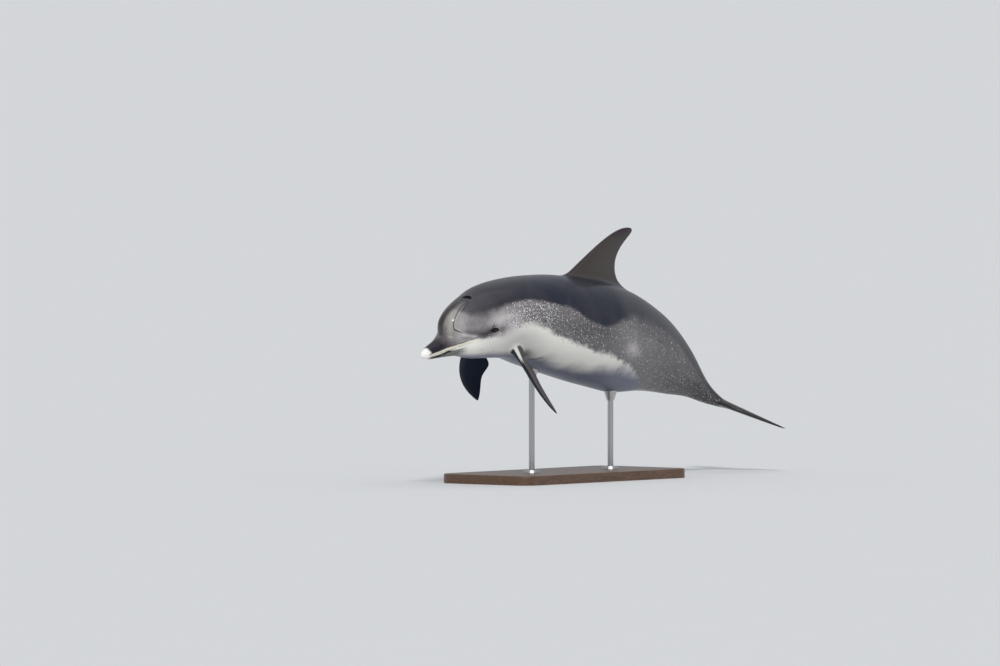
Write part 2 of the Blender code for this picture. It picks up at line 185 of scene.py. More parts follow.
@dataclass(frozen=True)
class BodyForm:
    """The body's outline: smooth unions of a trunk and a jaw section along a bent spine."""

    tail_twist: float = math.radians(11.0)
    twist_span: tuple[float, float] = (60.0, 95.0)
    melon_start: float = 7.3
    melon_end: float = 15.0
    melon_level: float = 1.15
    jaw_fade: tuple[float, float] = (11.5, 19.0)
    blend: float = 9.0
    notch: float = 99.45
    thin_from: float = 98.5
    spine_steps: int = 801
    spine: dict[str, Array] = field(default_factory=dict)
    fine: Array = field(default_factory=lambda: np.linspace(0, 100, 4001))
    lines: dict[float, list[Array]] = field(default_factory=dict)

    def __post_init__(self) -> None:
        """Adds up the spine's course."""
        along = np.linspace(0, 100, self.spine_steps)
        pitch = np.radians(smooth_curve(SPINE, along))
        step = LENGTH / (self.spine_steps - 1)
        for name, rate in (("x", np.cos(pitch)), ("z", -np.sin(pitch))):
            self.spine[name] = np.concatenate([[0], np.cumsum((rate[1:] + rate[:-1]) / 2 * step)])
        self.spine.update(along=along, pitch=pitch)
        for table, reach in ((TRUNK, 2.2), (JAWS, 0.15)):
            self.lines[table[0].along] = self.soften(table, reach)

    def course(self, at: Array) -> tuple[Array, Array, Array, Array]:
        """The spine's x, z, pitch and twist at places along the body."""
        x, z, pitch = (np.interp(at, self.spine["along"], self.spine[k]) for k in ("x", "z", "pitch"))
        return x, z, pitch, self.tail_twist * ease(at, *self.twist_span)

    def place(self, at: Array, side: Array, up: Array) -> Array:
        """Points in the body's own frame.

        Args:
            at: Place along the body.
            side: Distance towards the left, in parts.
            up: Height over the spine, in parts.

        Returns:
            Points in metres, the last axis being x, y and z.
        """
        x, z, pitch, twist = self.course(at)
        out = (side * np.cos(twist) + up * np.sin(twist)) * PART
        rise = (up * np.cos(twist) - side * np.sin(twist)) * PART
        return np.stack([x + rise * np.sin(pitch), -out, z + rise * np.cos(pitch)], -1)

    def unplace(self, points: Array) -> tuple[Array, Array, Array]:
        """Place along, side and height of points in the body's frame; the reverse of place.

        Args:
            points: The points, in the body's frame.

        Returns:
            The three, in parts.
        """
        at = np.interp(points[..., 0], self.spine["x"], self.spine["along"])
        for _ in range(10):
            x, z, pitch, _twist = self.course(at)
            ahead = (points[..., 0] - x) * np.cos(pitch) - (points[..., 2] - z) * np.sin(pitch)
            at = np.clip(at + ahead / PART * 0.9, 0, 100)
        x, z, pitch, twist = self.course(at)
        rise = (points[..., 0] - x) * np.sin(pitch) + (points[..., 2] - z) * np.cos(pitch)
        out = -points[..., 1]
        side = (out * np.cos(twist) - rise * np.sin(twist)) / PART
        up = (out * np.sin(twist) + rise * np.cos(twist)) / PART
        return at, side, up

    def measures(self, table: Sequence[Section], at: Array) -> list[Array]:
        """All measures of a table of sections at places, from its softened lines."""
        return [np.interp(at, self.fine, line) for line in self.lines[table[0].along]]

    def soften(self, table: Sequence[Section], reach: float) -> list[Array]:
        """Lines through the measures of a table, averaged over a reach to leave no kinks.

        Args:
            table: The sections.
            reach: Half the stretch that is averaged, in parts.

        Returns:
            A line for each measure.
        """
        half = max(int(reach / self.fine[1]), 1)
        weights = np.hanning(2 * half + 3)[1:-1]
        curves = (smooth_curve([(s.along, getattr(s, name)) for s in table], self.fine)
                  for name in Section._fields[1:])
        return [np.convolve(np.pad(curve, half, mode="edge"), weights / weights.sum(), mode="valid")
                for curve in curves]

    def trunk(self, at: Array) -> list[Array]:
        """Top, bottom, half width and the two exponents of the trunk's sections.

        Args:
            at: Places along the body.

        Returns:
            The five measures at those places.
        """
        top, bottom, width, upper, lower = self.measures(TRUNK, at)
        grown = np.clip((at - self.melon_start) / (self.melon_end - self.melon_start), 0, 1)
        front = np.sqrt(1 - (1 - grown) ** 2)
        thin = np.clip((at - self.thin_from) / (self.notch - self.thin_from), 0, 1)
        level = self.melon_level
        top = level + (top - level) * front**0.80
        bottom = level + (bottom - level) * front**1.5
        flat = 1 - 0.75 * thin**1.5
        return [top * flat, bottom * flat, width * front * (1 - 0.35 * thin**2), upper, lower]

    def jaws(self, at: Array) -> list[Array]:
        """Top, bottom, half width and the two exponents of the jaws' sections."""
        return self.measures(JAWS, at)

    @staticmethod
    def superellipse(y: Array, z: Array, section: list[Array]) -> Array:
        """Gauge of a section: below 1 inside, above 1 outside.

        Args:
            y: Distances out to the side.
            z: Heights over the spine.
            section: The section's five measures.

        Returns:
            The gauge of each point.
        """
        top, bottom, width, upper_exponent, lower_exponent = section
        middle = (top + bottom) / 2 - 0.04 * (top - bottom)
        upper = z >= middle
        exponent = np.where(upper, upper_exponent, lower_exponent)
        height = np.maximum(np.where(upper, top - middle, middle - bottom), 1e-4)
        return (np.abs(y / np.maximum(width, 1e-4)) ** exponent
                + np.abs((z - middle) / height) ** exponent) ** (1 / exponent)

    def gauges(self, at: Array, y: Array, z: Array) -> tuple[Array, Array]:
        """The trunk's and the jaws' gauges; a section that has ended reads as far outside.

        Args:
            at: Places along the body.
            y: Distances out to the side.
            z: Heights over the spine.

        Returns:
            The two gauges of each point.
        """
        faded = np.clip((at - self.jaw_fade[0]) / (self.jaw_fade[1] - self.jaw_fade[0]), 0, 1)
        trunk = self.superellipse(y, z, self.trunk(at))
        jaws = self.superellipse(y, z, self.jaws(at)) * (1 + 0.9 * faded**2)
        return (np.where(at <= self.melon_start, FAR, np.maximum(trunk, 1e-3)),
                np.where(at >= self.jaw_fade[1], FAR, np.maximum(jaws, 1e-3)))

    def gauge(self, at: Array, y: Array, z: Array) -> Array:
        """Gauge of the whole body: below 1 inside, above 1 outside."""
        trunk, jaws = self.gauges(at, y, z)
        return (trunk**-self.blend + jaws**-self.blend) ** (-1 / self.blend)

    def middle(self, at: Array) -> Array:
        """Height of the point that a ring's angles are counted round.

        Args:
            at: Places along the body.

        Returns:
            The heights, in parts.
        """
        trunk, jaws = self.trunk(at), self.jaws(at)
        share = ease(at, 5.0, 17.0)
        return (1 - share) * (jaws[0] + jaws[1]) / 2 + share * (trunk[0] + trunk[1]) / 2

    def radius(self, at: Array, angle: Array) -> Array:
        """Distance from a ring's middle to the skin, in parts.

        Args:
            at: Places along the body, that broadcast with the angles.
            angle: Degrees; 0 is the left side and 90 the back.

        Returns:
            The distances.
        """
        shape = np.broadcast(at, angle).shape
        turn = np.radians(angle)
        middle = self.middle(at)
        return halve(lambda away: self.gauge(at, away * np.cos(turn), middle + away * np.sin(turn)) > 1,
                     np.zeros(shape), np.full(shape, WIDEST))

    def mouth_angle(self, at: Array) -> Array:
        """Degrees round the body of the line between the jaws, at places along the head.

        Args:
            at: Places along the body.

        Returns:
            The angles.
        """
        height = smooth_curve(MOUTH, at)
        side = halve(lambda out: self.gauge(at, out, height) > 1,
                     np.zeros(len(at)), np.full(len(at), WIDEST))
        return np.degrees(np.arctan2(height - self.middle(at), side))

    def skin(self, at: Array, angle: Array, swell: Array | float = 0.0) -> Array:
        """Points of the skin, raised by a swell in metres.

        Args:
            at: Places along the body.
            angle: Degrees round the body.
            swell: Height over the plain skin, in metres.

        Returns:
            The points, in metres.
        """
        at, angle = np.asarray(at, float), np.asarray(angle, float)
        radius = self.radius(at, angle) + np.asarray(swell) / PART
        turn = np.radians(angle)
        at = np.broadcast_to(at, radius.shape)
        return self.place(at, radius * np.cos(turn), self.middle(at) + radius * np.sin(turn))

    def depth(self, points: Array) -> Array:
        """Gauge of the body at points in its own frame."""
        at, side, up = self.unplace(points)
        return np.where(at > self.notch, 2.0, self.gauge(at, side, up))

    def settle(self, points: Array) -> tuple[Array, Array]:
        """Place along and angle of the skin under points near it."""
        at, side, up = self.unplace(points)
        return at, np.degrees(np.arctan2(up - self.middle(at), side))

    def midline(self, at: float, top: bool, sunk: float = 0.0) -> Array:
        """Point of the back or belly line, a little under the skin."""
        height = float(self.trunk(at)[0 if top else 1])
        return self.place(at, 0.0, height - sunk / PART * (1 if top else -1))


BODY = BodyForm()


def deselect() -> None:
    """Leaves edit mode and selects nothing."""
    if bpy.context.object and bpy.context.object.mode != "OBJECT":
        bpy.ops.object.mode_set(mode="OBJECT")
    bpy.ops.object.select_all(action="DESELECT")


def rolled_sheet(name: str, rings: Array) -> bpy.types.Object:
    """Rolls a sheet into a tube whose rows lie on rings; a ring drawn to a point closes it.

    Args:
        name: The new object's name.
        rings: Points as rows, points and coordinates; each ring is closed by its first point.

    Returns:
        The open or closed tube, its seam still loose.
    """
    rows, sides = rings.shape[:2]
    deselect()
    bpy.ops.mesh.primitive_grid_add(x_subdivisions=sides, y_subdivisions=rows - 1, size=1.0)
    sheet = bpy.context.object
    sheet.name = name
    closed = np.concatenate([rings, rings[:, :1]], axis=1)
    sheet.data.vertices.foreach_set("co", closed.reshape(-1).astype(np.float32))
    sheet.data.update()
    return sheet


def finish_mesh(merge: float) -> None:
    """Merges points that lie within a distance, turns the faces outward and smooths the shading.

    Args:
        merge: The distance in metres, or 0 to merge nothing.
    """
    bpy.ops.object.mode_set(mode="EDIT")
    bpy.ops.mesh.select_all(action="SELECT")
    if merge:
        bpy.ops.mesh.remove_doubles(threshold=merge)
    bpy.ops.mesh.normals_make_consistent(inside=False)
    bpy.ops.object.mode_set(mode="OBJECT")
    bpy.ops.object.shade_smooth()


def note(piece: bpy.types.Object, name: str, values: Array) -> None:
    """Keeps a number, or three, per point of a piece for its finish to read.

    Args:
        piece: The piece.
        name: The note's name.
        values: A number or a row for each point.
    """
    kind, slot = ("FLOAT", "value") if values.ndim == 1 else ("FLOAT_VECTOR", "vector")
    attribute = piece.data.attributes.get(name) or piece.data.attributes.new(name, kind, "POINT")
    attribute.data.foreach_set(slot, values.reshape(-1).astype(np.float32))


def points_of(piece: bpy.types.Object) -> Array:
    """All the points of a piece.

    Args:
        piece: The piece.

    Returns:
        Their coordinates, a row each.
    """
    points = np.zeros(len(piece.data.vertices) * 3, np.float32)
    piece.data.vertices.foreach_get("co", points)
    return points.reshape(-1, 3).astype(float)


@dataclass(frozen=True)
class Opening:
    """A block of the sheet's faces that is left open."""

    rings: tuple[int, int]
    sides: tuple[int, int]

    def numbers(self) -> tuple[Array, Array]:
        """Ring and side numbers of the opening's edge, once round.

        Returns:
            The rings' numbers and the sides' numbers.
        """
        (r0, r1), (s0, s1) = self.rings, self.sides
        rings = [*range(r0, r1), *[r1] * (s1 - s0), *range(r1, r0, -1), *[r0] * (s1 - s0)]
        sides = [*[s0] * (r1 - r0), *range(s0, s1), *[s1] * (r1 - r0), *range(s1, s0, -1)]
        return np.array(rings), np.array(sides)

    def local(self) -> tuple[Array, Array]:
        """The edge's places in the opening, each way from -1 to 1."""
        return tuple(2 * (n - low) / (high - low) - 1
                     for n, (low, high) in zip(self.numbers(), (self.rings, self.sides)))


@dataclass
class SkinSheet:
    """The sheet that is rolled round the body: its rings, its lines and its small relief."""

    lines_per_quarter: int = 40
    spacing: tuple = (   # place along, distance between rings, in parts
        (0.4, 0.05), (1.0, 0.10), (3.5, 0.17), (6.0, 0.12), (8.0, 0.15), (12.5, 0.14), (14.5, 0.10),
        (17.0, 0.10), (20.0, 0.24), (26.0, 0.32), (34.0, 0.50), (60.0, 0.55), (88.0, 0.50), (92.0, 0.30),
        (99.4, 0.22),
    )
    crowding: tuple = ((0.4, 1.25), (6.0, 1.55), (16.5, 1.6), (24.0, 1.0))
    eye_along: float = EYE_ALONG
    groove: float = 2.2 * MILLIMETRE            # depth of the line between the jaws
    groove_width: float = 1.2 * MILLIMETRE
    lip: float = 0.9 * MILLIMETRE               # height of the lips either side of it
    lip_width: float = 2.4 * MILLIMETRE
    lip_away: float = 3.4 * MILLIMETRE
    corner: float = 0.6 * MILLIMETRE            # height of the fold round the corner of the mouth
    corner_along: float = 12.9
    corner_radius: float = 4.5 * MILLIMETRE
    corner_width: float = 2.5 * MILLIMETRE
    first: float = 0.85                         # place of the foremost ring
    melon_turn: float = 0.62                    # radians of the melon's round front that are ringed evenly
    melon_rings: int = 30
    crease_passes: int = 14
    openings: list[Opening] = field(default_factory=list)
    at: Array = None
    angle: Array = None
    points: Array = None

    def __post_init__(self) -> None:
        """Sets out the rings and lines and lays the sheet on the body."""
        turn = np.linspace(0, self.melon_turn, self.melon_rings + 1)
        melon = BODY.melon_start + (BODY.melon_end - BODY.melon_start) * (1 - np.cos(turn))
        beak, rest = self.run(self.first, BODY.melon_start), self.run(melon[-1], BODY.notch)[1:]
        self.at = np.concatenate([beak, melon, rest])
        self.angle = self.lines()
        at = self.at[:, None]
        self.points = BODY.skin(at, self.angle)
        self.points = BODY.skin(at, self.angle, self.relief())
        self.smooth_crease()

    def run(self, start: float, end: float) -> Array:
        """Places of rings between two places, at the spacing of that stretch.

        Args:
            start: The first place.
            end: The last place.

        Returns:
            The places.
        """
        places = [start]
        while places[-1] < end:
            places.append(places[-1] + float(np.interp(places[-1], *np.array(self.spacing).T)))
        places = np.array(places)
        places = start + (places - start) * (end - start) / (places[-1] - start)
        return places[:-1] if start == self.first else places

    @property
    def around(self) -> int:
        """How many lines run from snout to tail."""
        return 4 * self.lines_per_quarter

    def guide(self) -> Array:
        """Angle of the line that follows the mouth and then the eye, for each ring."""
        return BODY.mouth_angle(self.at) * (1 - ease(self.at, MOUTH[-1][0], self.eye_along - 0.8))

    def lines(self) -> Array:
        """Angles of all lines at each ring, close together by the mouth and the eye.

        Returns:
            The angles in degrees, a row for each ring.
        """
        share = np.arange(self.lines_per_quarter) / self.lines_per_quarter
        guide = self.guide()[:, None]
        power = np.interp(self.at, *np.array(self.crowding).T)[:, None]
        out, back = share**power, (1 - share) ** power
        return np.concatenate([guide + (90 - guide) * out, 180 - guide - (90 - guide) * back,
                               180 - guide + (90 + guide) * out, 360 + guide - (90 + guide) * back], axis=1)

    def mouth_distance(self) -> Array:
        """Distance of each point from the mouth line, negative on the lower jaw.

        Returns:
            The distances in metres.
        """
        quarter = self.lines_per_quarter
        near = np.concatenate([np.repeat(self.points[:, :1], quarter, 1),
                               np.repeat(self.points[:, 2 * quarter:2 * quarter + 1], 2 * quarter, 1),
                               np.repeat(self.points[:, :1], quarter, 1)], axis=1)
        sign = np.repeat([1, 1, -1, -1], quarter)
        return np.linalg.norm(self.points - near, axis=2) * sign

    def relief(self) -> Array:
        """Small heights over the plain body: lips, the groove between them, the fold at its corner.

        Returns:
            The heights in metres.
        """
        at = self.at[:, None]
        away = self.mouth_distance()
        small = np.interp(at, (0.4, 0.9, 2.5), (0.30, 0.6, 1.0))
        lips = (1 - ease(at, 11.6, 13.2)) * (0.4 + 0.6 * ease(at, 0.4, 0.9))
        swell = -self.groove * small * lips * bump(away, self.groove_width)
        beside = bump(np.abs(away) - self.lip_away * small, self.lip_width)
        swell = swell + self.lip * small * lips * np.where(away > 0, 1.0, 0.7) * beside
        corner = bump(np.hypot((at - self.corner_along) * PART, away) - self.corner_radius, self.corner_width)
        return swell + self.corner * corner * ease(at, 12.4, 13.2)

    def smooth_crease(self) -> None:
        """Evens out the points of the melon's steep foot, where rings crowd on its front."""
        at = self.at[:, None]
        upward = np.sin(np.radians(self.angle))
        share = ease(at, 6.6, 6.9) * (1 - ease(at, 7.5, 9.0)) * ease(upward, 0.0, 0.4)
        for _ in range(self.crease_passes):
            mean = (np.roll(self.points, 1, 1) + np.roll(self.points, -1, 1)) / 4
            mean[1:-1] += (self.points[2:] + self.points[:-2]) / 4
            self.points[1:-1] += (mean - self.points)[1:-1] * (share * 0.6)[1:-1, :, None]

    def block(self, at: tuple[float, float], angle: tuple[float, float]) -> Opening:
        """Leaves open the faces between two places along and two angles.

        Args:
            at: Foremost and hindmost place along.
            angle: Lowest and highest angle, within one turn of each other.

        Returns:
            The opening, also kept for cutting.
        """
        first, last = np.searchsorted(self.at, at[0]) - 1, np.searchsorted(self.at, at[1])
        last = min(int(last), len(self.at) - 1)
        lines = self.angle[(first + last) // 2]
        low = np.argmin(np.abs((lines - angle[0] + 180) % 360 - 180))
        high = np.argmin(np.abs((lines - angle[1] + 180) % 360 - 180))
        opening = Opening((int(first), last), (int(low), int(high + (self.around if high <= low else 0))))
        self.openings.append(opening)
        return opening

    def edge(self, opening: Opening) -> tuple[Array, Array, Array]:
        """Points, places along and angles of an opening's edge.

        Args:
            opening: The opening.

        Returns:
            The three, once round.
        """
        rings, sides = opening.numbers()
        sides = sides % self.around
        return self.points[rings, sides], self.at[rings], self.angle[rings, sides]

    def roll(self) -> bpy.types.Object:
        """Makes the sheet, with rounded ends and its openings cut.

        Returns:
            The sheet.
        """
        tip = self.end_rings(0, 0.12, 7)
        end = self.end_rings(-1, -0.04, 3)
        sheet = rolled_sheet("skin", np.concatenate([tip[::-1], self.points, end]))
        cut = np.zeros((len(self.at) - 1, self.around), bool)
        for opening in self.openings:
            for side in range(*opening.sides):
                cut[opening.rings[0]:opening.rings[1], side % self.around] = True
        whole = np.zeros((len(sheet.data.polygons) // self.around, self.around), bool)
        whole[len(tip):len(tip) + len(cut)] = cut
        bpy.ops.object.mode_set(mode="EDIT")
        bpy.ops.mesh.select_all(action="DESELECT")
        bpy.ops.mesh.select_mode(type="FACE")
        bpy.ops.object.mode_set(mode="OBJECT")
        sheet.data.polygons.foreach_set("select", whole.reshape(-1))
        bpy.ops.object.mode_set(mode="EDIT")
        bpy.ops.mesh.delete(type="FACE")
        bpy.ops.object.mode_set(mode="OBJECT")
        return sheet

    def end_rings(self, end: int, reach: float, steps: int) -> Array:
        """Rings that round off an end of the sheet, the last drawn to a point.

        Args:
            end: 0 at the snout and -1 at the tail.
            reach: How far forward the end is drawn, in parts.
            steps: Number of rings.

        Returns:
            The rings, from the sheet outwards.
        """
        ring = self.points[end]
        centre = ring.mean(axis=0)
        along = BODY.place(self.at[end] - 1.0, 0.0, 0.0) - BODY.place(self.at[end], 0.0, 0.0)
        scales = 1 - np.arange(1, steps + 1) / steps
        return np.stack([centre + (ring - centre) * s + along * reach * (1 - s * s) for s in scales])


class FinKind(Enum):
    """Which weight of the fins' note a fin fills."""

    DORSAL = 0
    FLIPPER = 1
    FLUKE = 2


@dataclass
class Fin:
    """An airfoil fin that grows out of an opening in the skin."""

    kind: FinKind
    root: Array
    span: Array          # unit vectors: root to tip, leading to trailing edge, across
    chord_line: Array
    across: Array
    length: float
    chord: float
    outline: Callable[[Array], tuple[Array, Array, Array]]   # lead, trail in chords; thickness
    rounding: float
    fillet: float = 0.022
    margin: tuple[float, float] = (0.020, 0.020)     # opening's margin along and round, in metres
    steps: tuple[int, int, int] = (5, 6, 38)         # rings on the skin, in the fillet, up the fin
    edge: float = 0.0007            # half thickness of the trailing edge
    reach: float = 0.996            # height at which the fin's tip closes
    lowest: float = 0.0             # least height at which the fin may leave the body
    reach_back: float = 100.0       # hindmost place along that the opening reaches
    within: tuple[float, float] = (-360.0, 720.0)    # angles that the opening keeps between

    def point(self, share: Array, turn: Array) -> Array:
        """Points of the fin's surface.

        Args:
            share: Height up the fin, 0 at the root and 1 at the tip.
            turn: Way round the section in radians; 0 is the leading and pi the trailing edge.

        Returns:
            Points in the body's frame.
        """
        share, turn = np.broadcast_arrays(np.asarray(share, float), np.asarray(turn, float))
        lead, trail, thick = self.outline(share)
        closing = np.sqrt(np.maximum(1 - (share / self.reach) ** self.rounding, 0))
        x = (1 - np.cos(turn)) / 2
        foil = (2.969 * np.sqrt(x) - 1.26 * x - 3.516 * x**2 + 2.843 * x**3 - 1.036 * x**4) / 2
        rim = self.edge * x * np.sqrt(np.maximum(1 - x**30, 0))
        depth = (thick * foil + rim) * np.where(np.sin(turn) >= 0, 1, -1) * np.minimum(closing * 1.5, 1)
        along = (trail + lead) / 2 + (trail - lead) / 2 * closing * (2 * x - 1)
        return (self.root + share[..., None] * self.length * self.span
                + (self.chord * along)[..., None] * self.chord_line + depth[..., None] * self.across)

    def crossing(self, turn: Array) -> Array:
        """Height up the fin where each line of its surface leaves the body."""
        return halve(lambda share: BODY.depth(self.point(share, turn)) > 1,
                     np.full(turn.shape, self.lowest), np.full(turn.shape, 0.6), 18)

    def grow(self, sheet: SkinSheet, name: str) -> bpy.types.Object:
        """Cuts the opening and draws the fin out of its edge.

        Args:
            sheet: The skin that gets the opening.
            name: The new object's name.

        Returns:
            The fin, open at its foot, with its notes.
        """
        trial = np.linspace(0, 2 * math.pi, 60, endpoint=False)
        foot = self.point(self.crossing(trial), trial)
        at, angle = BODY.settle(foot)
        middle = math.degrees(math.atan2(np.sin(np.radians(angle)).sum(), np.cos(np.radians(angle)).sum()))
        angle = near_turn(angle, middle)
        size = np.linalg.norm(foot - BODY.place(at, np.zeros_like(at), BODY.middle(at)), axis=1).mean()
        room = self.fillet + self.margin[0], self.fillet + self.margin[1]
        span = math.degrees(room[1] / size)
        low, high = np.clip((angle.min() - span, angle.max() + span), *self.within)
        opening = sheet.block((at.min() - room[0] / PART, min(at.max() + room[0] / PART, self.reach_back)),
                              (low, high))
        edge, edge_at, edge_angle = sheet.edge(opening)
        edge_angle = near_turn(edge_angle, middle)
        turn = self.turns(opening, edge_at, edge_angle, at, angle, trial)
        leaves = self.crossing(turn)
        foot = self.point(leaves, turn)
        out_at, out_angle = self.spread(foot, middle)
        out_at = np.clip(out_at, edge_at.min() + 0.05, edge_at.max() - 0.05)
        out_angle = np.clip(out_angle, edge_angle.min() + 1.0, edge_angle.max() - 1.0)
        rings, weights, shares = [edge], [np.zeros(len(turn))], [np.zeros(len(turn))]
        surface, curve, up = self.steps
        for step in range(1, surface + 1):
            t = (step / surface) ** 0.8
            rings.append(BODY.skin(edge_at * (1 - t) + out_at * t, edge_angle * (1 - t) + out_angle * t))
            weights.append(np.zeros(len(turn)))
            shares.append(np.zeros(len(turn)))
        above = np.minimum(leaves + self.fillet / self.length, 0.9)
        start, top = rings[-1], self.point(above, turn)
        for step in range(1, curve + 1):
            t = step / curve
            rings.append(start * (1 - t) ** 2 + foot * 2 * t * (1 - t) + top * t**2)
            weights.append(np.full(len(turn), float(ease(t, 0.0, 1.0))))
            shares.append(above * t)
        for step in range(1, up + 1):
            t = math.sin(step / up * math.pi / 2)
            share = above + (self.reach - above) * t
            rings.append(self.point(share, turn))
            weights.append(np.ones(len(turn)))
            shares.append(share)
        fin = rolled_sheet(name, np.stack(rings))
        chord = np.broadcast_to((1 - np.cos(turn)) / 2, (len(rings), len(turn)))
        close = [np.concatenate([v, v[:, :1]], axis=1).reshape(-1)
                 for v in (np.stack(weights), np.stack(shares), chord)]
        kinds = np.zeros((len(close[0]), 3))
        kinds[:, self.kind.value] = close[0]
        note(fin, "fin_kind", kinds)
        face = np.sin(np.append(turn, turn[0])) * np.sign(np.round(self.across[1] * self.span[1], 6))
        note(fin, "fin_place", np.stack([close[1], close[2], np.tile(face, len(rings))], -1))
        return fin

    def turns(self, opening: Opening, edge_at: Array, edge_angle: Array, at: Array, angle: Array,
              trial: Array) -> Array:
        """Way round the fin's section that each point of the opening's edge belongs to.

        Args:
            opening: The opening.
            edge_at: Places along of the opening's edge.
            edge_angle: Degrees of the opening's edge.
            at: Places along of the fin's foot.
            angle: Degrees of the fin's foot.
            trial: Way round the section of each point of the foot.

        Returns:
            The ways round, in radians.
        """
        ring, side = opening.local()

        def local(place: Array, turned: Array) -> tuple[Array, Array]:
            """Places of points of the foot in the opening."""
            return (2 * (place - edge_at.min()) / np.ptp(edge_at) - 1,
                    2 * (turned - edge_angle.min()) / np.ptp(edge_angle) - 1)

        foot = local(at, angle)
        lead, trail = trial.argmin(), np.abs(trial - math.pi).argmin()
        upper = np.abs(trial - math.pi / 2).argmin()
        centre = [(v[lead] + v[trail]) / 2 for v in foot]
        front = math.atan2(foot[1][lead] - centre[1], foot[0][lead] - centre[0])
        over = math.atan2(foot[1][upper] - centre[1], foot[0][upper] - centre[0])
        way = 1 if math.sin(over - front) > 0 else -1
        polar = np.arctan2(side - centre[1], ring - centre[0])
        return (way * (polar - front)) % (2 * math.pi)

    def spread(self, foot: Array, middle: float) -> tuple[Array, Array]:
        """Place along and angle of the ring on the skin that lies outside the foot.

        Args:
            foot: Points of the fin's foot.
            middle: The angle that the ring's angles are taken about.

        Returns:
            The places along and the angles.
        """
        along = np.roll(foot, -1, 0) - np.roll(foot, 1, 0)
        at, _ = BODY.settle(foot)
        normal = foot - BODY.place(at, np.zeros_like(at), BODY.middle(at))
        out = np.cross(along, normal)
        out /= np.maximum(np.linalg.norm(out, axis=1, keepdims=True), 1e-9)
        centre = foot.mean(axis=0)
        if np.einsum("ij,ij->i", out, foot - centre).sum() < 0:
            out = -out
        for _ in range(3):
            out = (np.roll(out, 1, 0) + out * 2 + np.roll(out, -1, 0)) / 4
        out /= np.maximum(np.linalg.norm(out, axis=1, keepdims=True), 1e-9)
        at, angle = BODY.settle(foot + out * self.fillet)
        return at, near_turn(angle, middle)


def dorsal_fin() -> Fin:
    """The tall hooked fin in the middle of the back.

    Returns:
        The fin.
    """
    front, rear = (BODY.midline(at, True, sunk=0.012) for at in (41.8, 57.2))
    chord = float(np.linalg.norm(rear - front))
    chord_line = (rear - front) / chord
    across = np.array((0.0, 1.0, 0.0))

    def outline(h: Array) -> tuple[Array, Array, Array]:
        """Leading edge, trailing edge and thickness at a height.

        Args:
            h: Heights up the fin, from 0 to 1.

        Returns:
            The edges in chords and the thickness in metres.
        """
        lead = -0.072 + 0.81 * h + 0.094 * h**4
        trail = 0.827 + 0.97 * (h - 0.435) ** 2 + 0.16 * np.exp(-h / 0.09)
        return lead, trail, 0.12 * chord * (trail - lead) + 0.001

    return Fin(FinKind.DORSAL, front, np.cross(chord_line, across), chord_line, across, 0.2455, chord,
               outline, 12, fillet=0.026, lowest=-0.05)


def flipper(side: int) -> Fin:
    """One flipper.

    Args:
        side: 1 on the left and -1 on the right.

    Returns:
        The fin.
    """
    base = BODY.skin(23.4, -46.0) * (1, side, 1)
    span = unit((0.46, -0.38, -0.84) if side > 0 else (0.49, 0.405, -0.84))
    ahead = np.array((-0.89, -0.456, 0) if side > 0 else (-0.69, 0.72, 0))
    ahead = unit(ahead - span * ahead.dot(span))

    def outline(h: Array) -> tuple[Array, Array, Array]:
        """Leading edge, trailing edge and thickness at a height.

        Args:
            h: Heights up the fin, from 0 to 1.

        Returns:
            The edges in chords and the thickness in metres.
        """
        h = np.minimum(h, 1)
        flare = np.exp(-((h / 0.13) ** 2))
        lead = -0.30 - 0.19 * np.sin(math.pi * h) + 0.50 * h**4 - 0.05 * flare
        trail = 0.25 + 0.11 * h + 0.25 * np.exp(-((h - 0.385) / 0.15) ** 2) + 0.20 * flare
        return lead, trail, 0.021 * (1 - h) ** 0.7 + 0.003 + 0.016 * flare

    return Fin(FinKind.FLIPPER, base - span * 0.02, span, -ahead, np.cross(span, ahead), 0.314, 0.1107,
               outline, 14, fillet=0.022, lowest=-0.1)


def fluke(side: int) -> Fin:
    """One half of the tail fin.

    Args:
        side: 1 on the left and -1 on the right.

    Returns:
        The fin.
    """
    pitch, twist = math.radians(14.0), BODY.tail_twist
    chord_line = np.array((math.cos(pitch), 0, -math.sin(pitch)))
    up = np.array((math.sin(pitch), 0, math.cos(pitch)))
    span = (np.array((0, -math.cos(twist), 0)) - up * math.sin(twist)) * side
    root = BODY.place(92.5, 0.0, 0.0)

    def outline(h: Array) -> tuple[Array, Array, Array]:
        """Leading edge, trailing edge and thickness at a height.

        Args:
            h: Heights up the fin, from 0 to 1.

        Returns:
            The edges in chords and the thickness in metres.
        """
        h = np.clip(h, 0, 1)
        lead = 0.98 * h**1.15 - 0.12 * np.sin(math.pi * h)
        trail = 0.86 + 0.10 * np.sin(math.pi * h) + 0.25 * h**2
        return lead, trail, 0.026 * (1 - h) ** 0.8 + 0.003

    return Fin(FinKind.FLUKE, root, span, chord_line, np.cross(chord_line, span), 0.246, 0.168, outline, 9,
               fillet=0.014, lowest=0.012, reach_back=99.30, margin=(0.012, 0.004),
               within=(-87.75, 87.75) if side > 0 else (92.25, 267.75))


